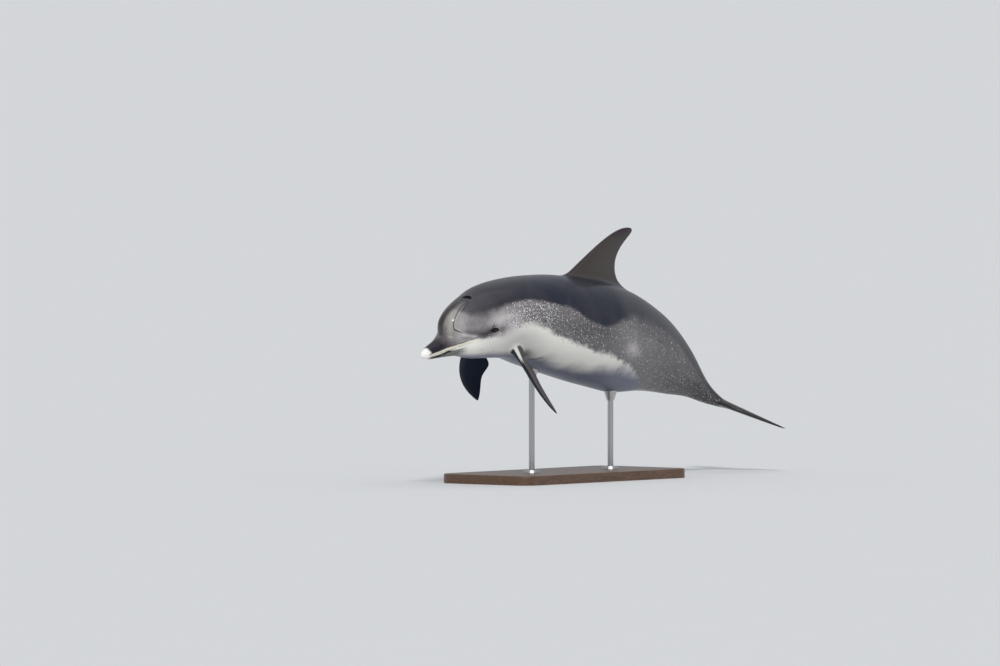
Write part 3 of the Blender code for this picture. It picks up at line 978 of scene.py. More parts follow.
@dataclass
class Rim:
    """An opening in the skin, and distances over the skin from its middle."""

    sheet: SkinSheet
    along: float
    angle: float
    size: tuple[float, float]       # half the opening, along and round, in metres
    flat: float = 1.0               # share of the ring's radius by which distances round it are counted
    edge: Array = None
    forward: Array = None
    around: Array = None

    def __post_init__(self) -> None:
        """Cuts the opening and measures its edge."""
        self.radius = float(BODY.radius(self.along, self.angle)) * PART * self.flat
        reach, turn = self.size[0] / PART, math.degrees(self.size[1] / self.radius)
        opening = self.sheet.block((self.along - reach, self.along + reach),
                                   (self.angle - turn, self.angle + turn))
        self.edge, at, angle = self.sheet.edge(opening)
        self.forward = (self.along - at) * PART
        self.around = np.radians(near_turn(angle, self.angle) - self.angle) * self.radius

    def place(self, forward: Array, around: Array) -> tuple[Array, Array]:
        """Place along and angle at distances forward and round the body from the middle."""
        return self.along - forward / PART, self.angle + np.degrees(around / self.radius)


@dataclass
class Lids:
    """The lids of one eye, which close round the eyeball's rim, and the pocket behind it."""

    along: float = EYE_ALONG
    half_length: float = 11.0 * MILLIMETRE
    half_height: float = 5.2 * MILLIMETRE
    tilt: float = 0.12    # rise of the slit towards the snout
    ball_radius: float = 13.5 * MILLIMETRE
    ball_proud: float = 3.6 * MILLIMETRE
    block_size: tuple[float, float] = (0.027, 0.024)    # half the opening, along and round
    steps: int = 18
    pocket: tuple = (    # width as a share of the slit's, millimetres under the eyeball's surface
        (0.985, -0.75), (0.965, -0.2), (0.95, 0.5), (0.90, 1.5), (0.6, 2.0), (0.3, 2.2), (0.0, 2.3),
    )

    def centre(self, side: int) -> Array:
        """Middle of the eyeball, in the body's frame.

        Args:
            side: 1 on the left and -1 on the right.

        Returns:
            The point, in metres.
        """
        angle = 0.0 if side > 0 else 180.0
        at = np.array((self.along - 0.3, self.along + 0.3, self.along, self.along, self.along))
        front, rear, low, high, skin = BODY.skin(at, angle + np.array((0.0, 0.0, -3.0, 3.0, 0.0)))
        return skin + unit(np.cross(rear - front, high - low)) * (self.ball_proud - self.ball_radius)

    def ball_height(self, at: Array, angle: Array, side: int) -> Array:
        """How far outside the plain skin the eyeball's surface lies, -10 mm where it doesn't reach.

        Args:
            at: Places along the body.
            angle: Degrees round the body.
            side: 1 on the left and -1 on the right.

        Returns:
            The heights, in metres.
        """
        skin = BODY.skin(at, angle)
        out = BODY.skin(at, angle, 1.0) - skin
        away = skin - self.centre(side)
        along = np.einsum("...i,...i", away, out)
        root = along**2 - np.einsum("...i,...i", away, away) + self.ball_radius**2
        return np.where(root > 0, -along + np.sqrt(np.maximum(root, 0)), -0.010)

    def swell(self, forward: Array, up: Array, ball: Array) -> Array:
        """Height of the lids over the plain skin.

        Args:
            forward: Distance from the eye's middle towards the snout.
            up: Distance from the eye's middle towards the back.
            ball: Height of the eyeball's surface over the plain skin.

        Returns:
            The heights.
        """
        soft = 1.6 * MILLIMETRE * bump(np.hypot(forward * 0.85, up), 0.0115)
        over = ball + 0.8 * MILLIMETRE
        width = 0.7 * MILLIMETRE
        high = np.maximum(soft, over) + width * np.log1p(np.exp(-np.abs(soft - over) / width)) * 0.5
        ring = np.hypot(forward / 17.5, up / 12.0) / MILLIMETRE
        fold = bump(ring - 1.0, 0.10) * np.where(up > 0, 1.0, 0.6)
        second = bump(ring - 1.32, 0.08) * np.where(up > 0, 0.4, 0.25)
        return high - 0.8 * MILLIMETRE * (fold + second)

    def grow(self, sheet: SkinSheet, side: int, name: str) -> bpy.types.Object:
        """Cuts the opening and draws the lids and the pocket out of its edge.

        Args:
            sheet: The skin that gets the opening.
            side: 1 on the left and -1 on the right.
            name: The new object's name.

        Returns:
            The lids and their pocket, open at the edge.
        """
        rim = Rim(sheet, self.along, 0.0 if side > 0 else 180.0, self.block_size)
        up = rim.around * side
        polar = np.arctan2(up / self.block_size[1], rim.forward / self.block_size[0])
        lid_forward = self.half_length * np.cos(polar)
        lid_up = self.half_height * np.sin(polar) * (1 - 0.30 * np.abs(np.cos(polar)) ** 3)
        lid_up = lid_up + self.tilt * lid_forward
        rings = [rim.edge]
        ways = (np.arange(1, self.steps + 1) / self.steps) ** 0.75
        for t in ways:
            ahead, above = rim.forward * (1 - t) + lid_forward * t, up * (1 - t) + lid_up * t
            place = rim.place(ahead, above * side)
            swell = self.swell(ahead, above, self.ball_height(*place, side)) * ease(t, 0.0, 0.15)
            rings.append(BODY.skin(*place, swell))
        for scale, drop in self.pocket:
            place = rim.place(lid_forward * scale, lid_up * scale * side)
            rings.append(BODY.skin(*place, self.ball_height(*place, side) - drop * MILLIMETRE))
        lids = rolled_sheet(name, np.stack(rings))
        closing = np.concatenate([[0.0], ways, np.full(len(self.pocket), 1.2)])
        note(lids, "lid", np.repeat(closing, len(up) + 1))
        return lids


@dataclass
class Blowhole:
    """The open blowhole on top of the head, a wide crescent with its horns forward and soft lips."""

    along: float = 14.2
    radius: float = 0.020
    half_turn: float = math.radians(50)
    slit: float = 0.0102            # half the crescent's width at its middle
    block_size: tuple[float, float] = (0.030, 0.032)
    flat: float = 0.72
    steps: int = 12
    depth: float = 13.6             # of the pocket, in millimetres
    pocket: tuple = (               # width as a share of the slit's, depth in millimetres
        (0.94, 1.2), (0.88, 3.5), (0.80, 7.0), (0.65, 11.0), (0.4, 13.0),
    )

    def grow(self, sheet: SkinSheet, name: str) -> bpy.types.Object:
        """Cuts the opening and draws the lips and the slit out of its edge.

        Args:
            sheet: The skin that gets the opening.
            name: The new object's name.

        Returns:
            The lips and the pocket, open at the edge.
        """
        rim = Rim(sheet, self.along, 90.0, self.block_size, self.flat)
        left = -rim.around
        polar = np.arctan2(left / self.block_size[1], -rim.forward / self.block_size[0])
        bow = np.where(np.abs(polar) < math.pi / 2, polar, np.sign(polar) * math.pi - polar)
        bow = bow / (math.pi / 2) * self.half_turn
        width = self.slit * (0.10 + 0.90 * np.cos(bow / self.half_turn * math.pi / 2))
        outer = np.where(np.abs(polar) < math.pi / 2, 1.0, -1.0)
        middle = self.radius * 0.75

        def crescent(grow: float) -> tuple[Array, Array]:
            """Forward and left distances of the slit's outline, widened by a factor."""
            away = self.radius + outer * width * grow
            return middle - away * np.cos(bow), away * np.sin(bow)

        shallow = np.sqrt(np.maximum(np.cos(bow / self.half_turn * math.pi / 2), 0))
        rings, closing = [rim.edge], [0.0]
        slit_forward, slit_left = crescent(1.0)
        rear = (1 + np.cos(polar)) / 2
        for step in range(1, self.steps + 1):
            t = (step / self.steps) ** 0.8
            lip = 1.3 * MILLIMETRE * bump(t - 0.88, 0.14) * (0.35 + 0.65 * rear) * shallow
            hollow = -0.8 * MILLIMETRE * bump(t - 0.45, 0.2) * (1 - rear) ** 2
            place = rim.place(rim.forward * (1 - t) + slit_forward * t, -left * (1 - t) - slit_left * t)
            rings.append(BODY.skin(*place, (lip + hollow) * ease(t, 0.0, 0.2)))
            closing.append(t)
        for grow, drop in self.pocket:
            ahead, beside = crescent(grow)
            swell = (0.5 - (drop + 0.5) * shallow) * MILLIMETRE
            rings.append(BODY.skin(*rim.place(ahead, -beside), swell))
            closing.append(1.0 + drop / self.depth)
        deepest = BODY.skin(*rim.place(middle - self.radius, 0.0), -self.depth * MILLIMETRE)
        rings.append(np.repeat(deepest[None], len(left), axis=0))
        closing.append(2.0)
        hole = rolled_sheet(name, np.stack(rings))
        note(hole, "blowhole", np.repeat(np.array(closing), len(left) + 1))
        return hole


NODES_OF_FLESH = ("head", "lower_jaw", "chest", "abdomen", "tail_stock", "dorsal_fin", "flipper_left",
                  "flipper_right", "fluke_left", "fluke_right")


def joining(operation: str) -> Callable[["Value", "Value | float"], "Value"]:
    """A method that joins a number and another by a Math node.

    Args:
        operation: The node's operation.

    Returns:
        The method.
    """

    def method(self: "Value", other: "Value | float") -> "Value":
        """The two numbers, joined."""
        return self.graph.math(operation, self, other)

    return method


class Value:
    """A number from a shader socket, that takes part in Python sums."""

    def __init__(self, graph: "Graph", socket: bpy.types.NodeSocket) -> None:
        """Keeps the socket and the graph it belongs to."""
        self.graph, self.socket = graph, socket

    def __rsub__(self, other: float) -> "Value":
        """Difference, the other way round."""
        return self.graph.math("SUBTRACT", other, self)

    __add__ = __radd__ = joining("ADD")
    __mul__ = __rmul__ = joining("MULTIPLY")
    __sub__ = joining("SUBTRACT")
    __truediv__ = joining("DIVIDE")
    __pow__ = joining("POWER")
    __lt__ = joining("LESS_THAN")


class Graph:
    """The node tree of one finish."""

    def __init__(self, name: str) -> None:
        """Starts a material whose shader is a lone Principled node.

        Args:
            name: The material's name.
        """
        self.material = bpy.data.materials.new(name)
        self.material.use_nodes = True
        self.tree = self.material.node_tree
        self.shader = self.tree.nodes["Principled BSDF"]

    def node(self, kind: str, settings: dict | None = None, sockets: dict | None = None) -> bpy.types.Node:
        """Adds a node.

        Args:
            kind: The node's type, without its ShaderNode prefix.
            settings: Attributes that are set first.
            sockets: Values or links of its inputs, by name or number.

        Returns:
            The node.
        """
        node = self.tree.nodes.new("ShaderNode" + kind)
        for name, value in (settings or {}).items():
            setattr(node, name, value)
        for name, value in (sockets or {}).items():
            self.feed(node.inputs[name], value)
        return node

    def feed(self, socket: bpy.types.NodeSocket, value: object) -> None:
        """Links a value to a socket, or sets the socket.

        Args:
            socket: The socket.
            value: A link, a number, a vector or a colour.
        """
        if isinstance(value, Value):
            self.tree.links.new(value.socket, socket)
        elif isinstance(value, tuple) and len(value) == 3 and socket.type == "RGBA":
            socket.default_value = (*value, 1.0)
        else:
            socket.default_value = value

    def value(self, node: bpy.types.Node, output: str | int = 0) -> Value:
        """One output of a node."""
        return Value(self, node.outputs[output])

    def math(self, operation: str, *values: "Value | float") -> Value:
        """A Math node."""
        return self.value(self.node("Math", {"operation": operation}, dict(enumerate(values))))

    def least(self, a: "Value | float", b: "Value | float") -> Value:
        """The smaller of two."""
        return self.math("MINIMUM", a, b)

    def most(self, a: "Value | float", b: "Value | float") -> Value:
        """The larger of two."""
        return self.math("MAXIMUM", a, b)

    def step(self, value: Value, low: float, high: float, start: float = 0.0, end: float = 1.0) -> Value:
        """Smooth step of a value from start, at low, to end, at high.

        Args:
            value: The value.
            low: Where the step starts.
            high: Where the step ends.
            start: Result at low.
            end: Result at high.

        Returns:
            The step.
        """
        names = ("Value", "From Min", "From Max", "To Min", "To Max")
        return self.value(self.node("MapRange", {"interpolation_type": "SMOOTHSTEP"},
                                    dict(zip(names, (value, low, high, start, end)))))

    def mix(self, share: "Value | float", a: "Value | Colour", b: "Value | Colour") -> Value:
        """Colour between a, at share 0, and b, at share 1.

        Args:
            share: Share of the second colour.
            a: The first colour.
            b: The second colour.

        Returns:
            The mixed colour.
        """
        node = self.node("Mix", {"data_type": "RGBA"})
        for number, value in ((0, share), (6, a), (7, b)):
            self.feed(node.inputs[number], value)
        return self.value(node, 2)

    def note(self, name: str) -> Value:
        """A number kept on the piece's points."""
        return self.value(self.node("Attribute", {"attribute_name": name}), "Fac")

    def notes(self, name: str) -> list[Value]:
        """The three numbers kept under one name.

        Args:
            name: The note's name.

        Returns:
            The numbers.
        """
        vector = self.value(self.node("Attribute", {"attribute_name": name}), "Vector")
        split = self.node("SeparateXYZ", None, {0: vector})
        return [self.value(split, i) for i in range(3)]

    def place(self, scale: Sequence[float] = (1, 1, 1)) -> Value:
        """Object coordinates, stretched."""
        coordinates = self.value(self.node("TexCoord"), "Object")
        return self.value(self.node("Mapping", None, {"Vector": coordinates, "Scale": tuple(scale)}))

    def noise(self, scale: float, detail: float = 3.0, place: Value | None = None, **more: float) -> Value:
        """Noise from 0 to 1 about 0.5."""
        sockets = {"Vector": place or self.place(), "Scale": scale, "Detail": detail, **more}
        return self.value(self.node("TexNoise", None, sockets), 0)

    def cells(self, scale: float, place: Value | None = None) -> tuple[Value, Value]:
        """Distance to the nearest seed of scattered cells, and a number of its own for each cell.

        Args:
            scale: Cells per metre.
            place: Flat coordinates, or None for plain ones in space.

        Returns:
            The distance, in cells, and the number.
        """
        settings = {"voronoi_dimensions": "2D" if place else "3D"}
        node = self.node("TexVoronoi", settings, {"Vector": place or self.place(), "Scale": scale})
        hue = self.node("SeparateColor", None, {0: self.value(node, "Color")})
        return self.value(node, "Distance"), self.value(hue, 0)

    def spots(self, scale: float, radius: float, density: "Value | float", place: Value | None = None,
              shift: float = 0.0) -> Value:
        """Scattered round spots.

        Args:
            scale: Cells per metre.
            radius: Radius of the largest spots, in cells.
            density: Share of cells that hold a spot.
            place: Flat coordinates, or None for plain ones in space.
            shift: Metres by which the flat coordinates are moved.

        Returns:
            1 in the spots, 0 between them.
        """
        if place:
            moved = self.node("VectorMath", {"operation": "ADD"}, {0: place, 1: (shift, shift, 0.0)})
            place = self.value(moved)
        away, own = self.cells(scale, place)
        size = radius * (0.55 + self.math("FRACT", own * 7.31) * 0.45)
        spot = 1 - self.math("DIVIDE", away, size)
        return self.step(spot, 0.0, 0.45) * (own < density)

    def dress(self, colour: Value, roughness: "Value | float", bump: Value | None = None,
              strength: float = 0.3, depth: float = MILLIMETRE, **sockets: float) -> bpy.types.Material:
        """Feeds the shader and returns the finished material.

        Args:
            colour: Base colour.
            roughness: Roughness.
            bump: Height of the relief, if any.
            strength: Strength of the relief.
            depth: Height of a full step of the relief.
            **sockets: More sockets of the shader, with _ for a space.

        Returns:
            The material.
        """
        self.feed(self.shader.inputs["Base Color"], colour)
        self.feed(self.shader.inputs["Roughness"], roughness)
        for name, value in sockets.items():
            self.feed(self.shader.inputs[name.replace("_", " ")], value)
        if bump is not None:
            relief = self.node("Bump", None, {"Strength": strength, "Distance": depth, "Height": bump})
            self.feed(self.shader.inputs["Normal"], self.value(relief))
        return self.material


@dataclass(frozen=True)
class Markings:
    """Where the coat's markings run, with painted shade and sheen among them: rows of a place along the body
    and degrees up from the side line.

    The depth, softness, width and tone rows hold a place and a value of their own instead.
    """

    cape_edge: tuple = (
        (7.0, 95), (10, 90), (10.6, 78), (11.2, 62), (12.0, 49), (13.2, 40), (15, 35), (17, 33.5), (19, 34),
        (21, 35), (24, 35), (28, 31), (31, 28), (34, 26), (36.5, 22), (38.5, 15), (41, 11.5), (44, 9.5),
        (47, 12.5), (50, 21), (53, 29), (56, 35), (60, 38), (66, 42), (72, 43), (80, 38), (90, 25), (97, 0),
    )
    cape_depth: tuple = (
        (0, 0.0), (8, 0.50), (11, 0.75), (14, 0.92), (18, 1.0), (50, 1.0), (58, 0.88), (66, 0.75),
        (78, 0.62), (92, 0.8), (99, 1.0),
    )
    cape_softness: tuple = (
        (8, 14.0), (13, 13.0), (16, 10.0), (20, 5.5), (24, 3.5), (45, 3.5), (52, 8.0), (60, 13.0),
        (99, 10.0),
    )
    lip_width: tuple = ((2, 32), (4.5, 27), (6, 17), (8, 13), (10, 10), (12, 8))   # degrees under the mouth
    belly_edge: tuple = (
        (9.0, -1.5), (10.0, -3), (11.5, -5), (13, -8), (14.6, -11), (15.6, -13), (17, -13), (19, -9),
        (21, -3), (22.5, 1.5), (24, 2), (26.5, -1), (29, -7), (31.5, -11.5), (34.5, -15.5),
        (37.5, -18.5), (40.5, -20.5), (44, -22), (47.5, -22.5), (51.5, -27), (55.5, -33), (59, -39),
        (62, -50), (66, -72), (69, -95),
    )
    tone: tuple = (
        (6.0, 0.25), (7.5, 0.50), (9.0, 0.66), (11.0, 0.60), (14.0, 0.62), (17.0, 0.80), (20.0, 0.70),
        (23.0, 0.52), (27.0, 0.45), (31.0, 0.40), (38.0, 0.33), (45.0, 0.32), (50.0, 0.42), (54.0, 0.55),
        (58.0, 0.46), (64.0, 0.36), (72.0, 0.28), (80.0, 0.20), (90.0, 0.12),
    )
    bridle: tuple = (
        (12.7, 78), (11.9, 77.5), (11.1, 75.5), (10.5, 74), (10.0, 72), (9.5, 70), (9.1, 68), (8.8, 66),
        (8.55, 63), (8.4, 59.5), (8.35, 56), (8.37, 52), (8.48, 48), (8.68, 43), (8.95, 37), (9.3, 30),
        (9.75, 23), (10.3, 16),
    )
    bridle_root: tuple = ((13.3, 77), (12.3, 75), (11.5, 72.5), (10.8, 70))
    melon_strip: tuple = (
        (12.6, 83), (11.8, 82.5), (11.0, 81), (10.0, 79.5), (9.3, 78), (8.8, 76), (8.3, 72.5), (7.9, 67),
        (7.6, 59), (7.5, 50),
    )
    shades: tuple = (   # middle and half sizes of soft patches, along and in degrees; how much lighter
        ((17.0, 16), (4.0, 9), 0.20), ((20.6, -3), (3.0, 10), 0.24), ((10.0, 48), (1.3, 14), 0.10),
        ((12.4, 9), (3.0, 10), -0.16), ((18.0, 27), (4.0, 10), -0.10), ((55.5, -11), (4.0, 10), 0.28),
    )
    strip_depth: tuple = ((7.5, 1.0), (8.5, 0.95), (9.5, 0.65), (11.0, 0.38), (12.5, 0.2))
    eye_streak: tuple = ((15.3, 0), (14.7, 0), (14.0, -1.5), (13.3, -3), (12.7, -3.5))
    jaw_shade: tuple = ((13.3, 1), (12.4, 5), (11.6, 9.5), (10.8, 15.5), (10.2, 22))
    jaw_light: tuple = ((8.6, 34), (9.3, 22), (10.1, 12), (11.1, 4), (12.2, -1))
    mouth_span: tuple[float, float] = (0.4, 14.0)
    eye_along: float = EYE_ALONG
    blotch: tuple[float, float] = (27.3, 6.5)
    # dark patch at the flipper's root, partly dark skin and partly painted shade; the armpit line is painted
    # shade in the fold behind it
    flipper_patch: tuple[float, float] = (25.2, -49.5)
    armpit: tuple = ((28.6, -57), (29.2, -54), (30.3, -47))

    def notes(self, at: Array, angle: Array, points: Array) -> dict[str, Array]:
        """Everything that the finish reads at the skin's points.

        Args:
            at: Places along the body.
            angle: Degrees round it, from -90 on the belly over the left side, the back and the right side.
            points: The points, folded to the left side of the body's frame.

        Returns:
            Notes by name.
        """
        girth = np.where(angle > 90, 180 - angle, angle)
        fine = np.linspace(*self.mouth_span, 200)
        guide = np.interp(at, fine, BODY.mouth_angle(fine))
        belly = guide + (smooth_curve(self.belly_edge, at) - guide) * ease(at, 8.5, 10.5)
        cape = smooth_curve(self.cape_edge, at)
        radius = BODY.measures(TRUNK, at)[2] * PART
        ahead, above = self.from_eye(points)
        beside, share = self.beside(points, self.bridle)
        depth = ease(share, 0.0, 0.12) * (1 - ease(share, 0.86, 1.0))
        depth = depth * (1 - 0.65 * ease(at, 8.7, 9.6) * (1 - ease(girth, 30, 48)))
        return {
            "cape": (girth - cape) / self.read(self.cape_softness, at),
            "cape_depth": self.read(self.cape_depth, at),
            "belly": belly - girth,
            "tone": self.greys(at, girth, points),
            "fleck": self.flecks(at, girth, belly, cape),
            "dots": 0.5 * ease(at, 10, 14) * (1 - ease(at, 30, 50)) + 0.35 * ease(at, 34, 50),
            "edge_dots": bump(girth - belly - 1, 4.5) * ease(at, 10, 11.5) * (1 - ease(at, 15.5, 17.5)),
            # dark marks, with painted shade in the melon's crease, under the flipper's root and in the armpit
            "streak": self.darks(at, girth, points, radius),
            "bridle_side": beside / MILLIMETRE,
            "bridle_depth": depth,
            "strip": self.pale_strip(at, angle, girth, points),
            # brown crown on the melon, carried far over the right side as painted shade
            "crown": ease(angle, 84, 95) * (1 - ease(angle, 114, 130)),
            "patch": patch(ahead, above - 0.18 * ahead, (1.0, 0.0), (21.0, 9.0)),
            "eye_flecks": patch(ahead, above, (1, 13), (20, 17)),
            "chest": patch(at, girth, (22.0, -22), (6.0, 20)),
            "along": at,
            "girth": girth,
            "lip": (girth - guide) / self.read(self.lip_width, at),
            "arc": np.stack([at * PART, np.radians(angle) * radius, np.zeros_like(at)], -1),
        }

    @staticmethod
    def read(table: tuple, at: Array) -> Array:
        """Values of a table of places and values, straight between its rows."""
        return np.interp(at, *np.array(table).T)

    def from_eye(self, points: Array) -> tuple[Array, Array]:
        """Millimetres ahead of the eye and above it.

        Args:
            points: The points, in the body's frame.

        Returns:
            The two distances.
        """
        eye, before = (BODY.skin(at, 0.0) for at in (self.eye_along, self.eye_along - 1))
        ahead = unit(before - eye)
        up = unit(np.cross(ahead, (0.0, -1.0, 0.0)))
        up = up * np.sign(up[2])
        return (points - eye) @ ahead / MILLIMETRE, (points - eye) @ up / MILLIMETRE

    def greys(self, at: Array, girth: Array, points: Array) -> Array:
        """How light the sides are, from dark at 0 to light at 1.

        Args:
            at: Places along the body.
            girth: Degrees up from the side line.
            points: The points, in the body's frame.

        Returns:
            The tone at each point.
        """
        tone = smooth_curve(self.tone, at)
        for middle, size, lighter in self.shades:
            tone = tone + lighter * patch(at, girth, middle, size)
        jaw = ease(at, 8.6, 9.9) * (1 - ease(at, 11.2, 12.6))
        tone = tone + 0.32 * self.near(points, self.jaw_light, 6.5 * MILLIMETRE) * jaw
        tone = tone - 0.16 * ease(at, 48, 52) * (1 - ease(at, 60, 70)) * ease(girth, 8, 24)
        return tone - 0.10 * bump((girth - 2) / 9, 1.0) * ease(at, 26, 32) * (1 - ease(at, 46, 52))

    def flecks(self, at: Array, girth: Array, belly: Array, cape: Array) -> Array:
        """How thick the pale flecks lie, between the belly's edge and the cape's.

        Args:
            at: Places along the body.
            girth: Degrees up from the side line.
            belly: Degrees of the belly's edge.
            cape: Degrees of the cape's edge.

        Returns:
            The share of cells with a fleck.
        """
        fleck = ease(at, 17.0, 21.5) * (1 - 0.45 * ease(at, 28, 36)) * (1 - 0.35 * ease(at, 40, 52))
        fleck = fleck * ease(girth, belly - 7, belly + 2) * (1 - ease(girth, cape - 3, cape + 3))
        cheek = ease(girth, belly - 10, belly) * (1 - ease(girth, belly + 4, belly + 16))
        cheek = cheek * ease(at, 13, 15) * (1 - ease(at, 19, 24)) * 0.7
        return np.clip(np.maximum(fleck, cheek), 0, 1)

    def darks(self, at: Array, girth: Array, points: Array, radius: Array) -> Array:
        """Dark streaks and patches of the head, the flipper's root, the flank and the fin's foot, with
        painted shade in the melon's crease, under the flipper's root and in the armpit.

        Args:
            at: Places along the body.
            girth: Degrees up from the side line.
            points: The points, in the body's frame.
            radius: Half the trunk's width, in metres.

        Returns:
            How dark each point is, from 0 to 1.
        """
        ahead, above = self.from_eye(points)
        streak = 0.90 * self.near(points, self.eye_streak, 14.0 * MILLIMETRE)
        streak = streak * (0.45 + 0.55 * ease(at, 12.8, 14.4))
        streak = streak + 0.38 * self.near(points, self.jaw_shade, 9.0 * MILLIMETRE)
        streak = streak + 0.55 * self.near(points, self.bridle_root, 8.5 * MILLIMETRE)
        eye = 0.62 * patch(ahead, above, (-32, -7), (25, 15)) + 0.75 * patch(ahead, above, (1, 9), (8, 15))
        # Painted shade in the crease at the melon's foot.
        crease = 0.85 * bump(at - 7.0, 0.28) * ease(girth, 48, 72)
        blotch_at, blotch_girth = self.blotch
        blotch = 0.6 * bump(np.hypot((at - blotch_at) * PART, np.radians(girth - blotch_girth) * radius),
                            8.5 * MILLIMETRE)
        # Dark patch at the flipper's root, partly dark skin and partly painted shade; the armpit line is
        # painted shade of the fold behind the flipper.
        root = 0.80 * patch(at, girth, self.flipper_patch, (2.4, 9.0))
        root = root + 0.6 * self.near(points, self.armpit, 6.0 * MILLIMETRE)
        foot = 0.6 * ease(patch(at, girth, (43.4, 82), (3.2, 11)), 0.25, 0.6)
        return np.clip(streak + eye + crease + blotch + root + foot, 0, 1)

    def pale_strip(self, at: Array, angle: Array, girth: Array, points: Array) -> Array:
        """The pale strip beside the melon's crown, partly pale skin and partly painted sheen; it is kept
        faint on the right side as painted shade.

        Args:
            at: Places along the body.
            angle: Degrees round the body.
            girth: Degrees up from the side line.
            points: The points, in the body's frame.

        Returns:
            How pale each point is, from 0 to 1.
        """
        strip = np.maximum(self.near(points, self.melon_strip, 11.0 * MILLIMETRE),
                           patch(at, girth, (7.8, 64), (0.6, 20)))
        # The strip on the right side is dimmed as painted shade.
        return strip * self.read(self.strip_depth, at) * np.where(angle > 90, 0.10, 1.0)

    @staticmethod
    def trace(route: tuple) -> tuple[Array, Array]:
        """Points of a route, drawn smoothly over the skin, and the way out of the skin at each.

        Args:
            route: Places along and degrees of the route's points.

        Returns:
            The points and the ways out.
        """
        places = np.array(route, float)
        fine = np.linspace(0, len(route) - 1, 8 * len(route))
        weights = np.hanning(13)[1:-1]
        weights /= weights.sum()
        courses = (np.pad(np.interp(fine, np.arange(len(route)), column), len(weights) // 2, mode="edge")
                   for column in places.T)
        at, girth = (np.convolve(course, weights, mode="valid") for course in courses)
        line = BODY.skin(at, girth)
        return line, BODY.skin(at, girth, 0.01) - line

    @staticmethod
    def beside(points: Array, route: tuple) -> tuple[Array, Array]:
        """Metres that points lie beside a route, and their share of the way along it.

        Args:
            points: The points, in the body's frame.
            route: Places along and degrees of the route's points.

        Returns:
            The distances and the shares.
        """
        line, out = Markings.trace(route)
        close, where = np.full(len(points), 1.0), np.zeros(len(points), int)
        for number, place in enumerate(line):
            away = np.linalg.norm(points - place, axis=1)
            nearer = away < close
            close[nearer], where[nearer] = away[nearer], number
        across = np.cross(np.gradient(line, axis=0), out)
        across /= np.linalg.norm(across, axis=1, keepdims=True)
        return np.einsum("ij,ij->i", points - line[where], across[where]), where / (len(line) - 1)

    @staticmethod
    def near(points: Array, route: tuple, width: float) -> Array:
        """1 on a route over the skin, falling off within a width of it.

        Args:
            points: The points, in the body's frame.
            route: Places along and degrees of the route's points.
            width: Metres in which it falls off.

        Returns:
            The share at each point.
        """
        line, _out = Markings.trace(route)
        head = points[:, 0] < line[:, 0].max() + 0.05
        close = np.full(len(points), 1.0)
        close[head] = np.min([np.linalg.norm(points[head] - p, axis=1) for p in line], axis=0)
        return bump(close, width)


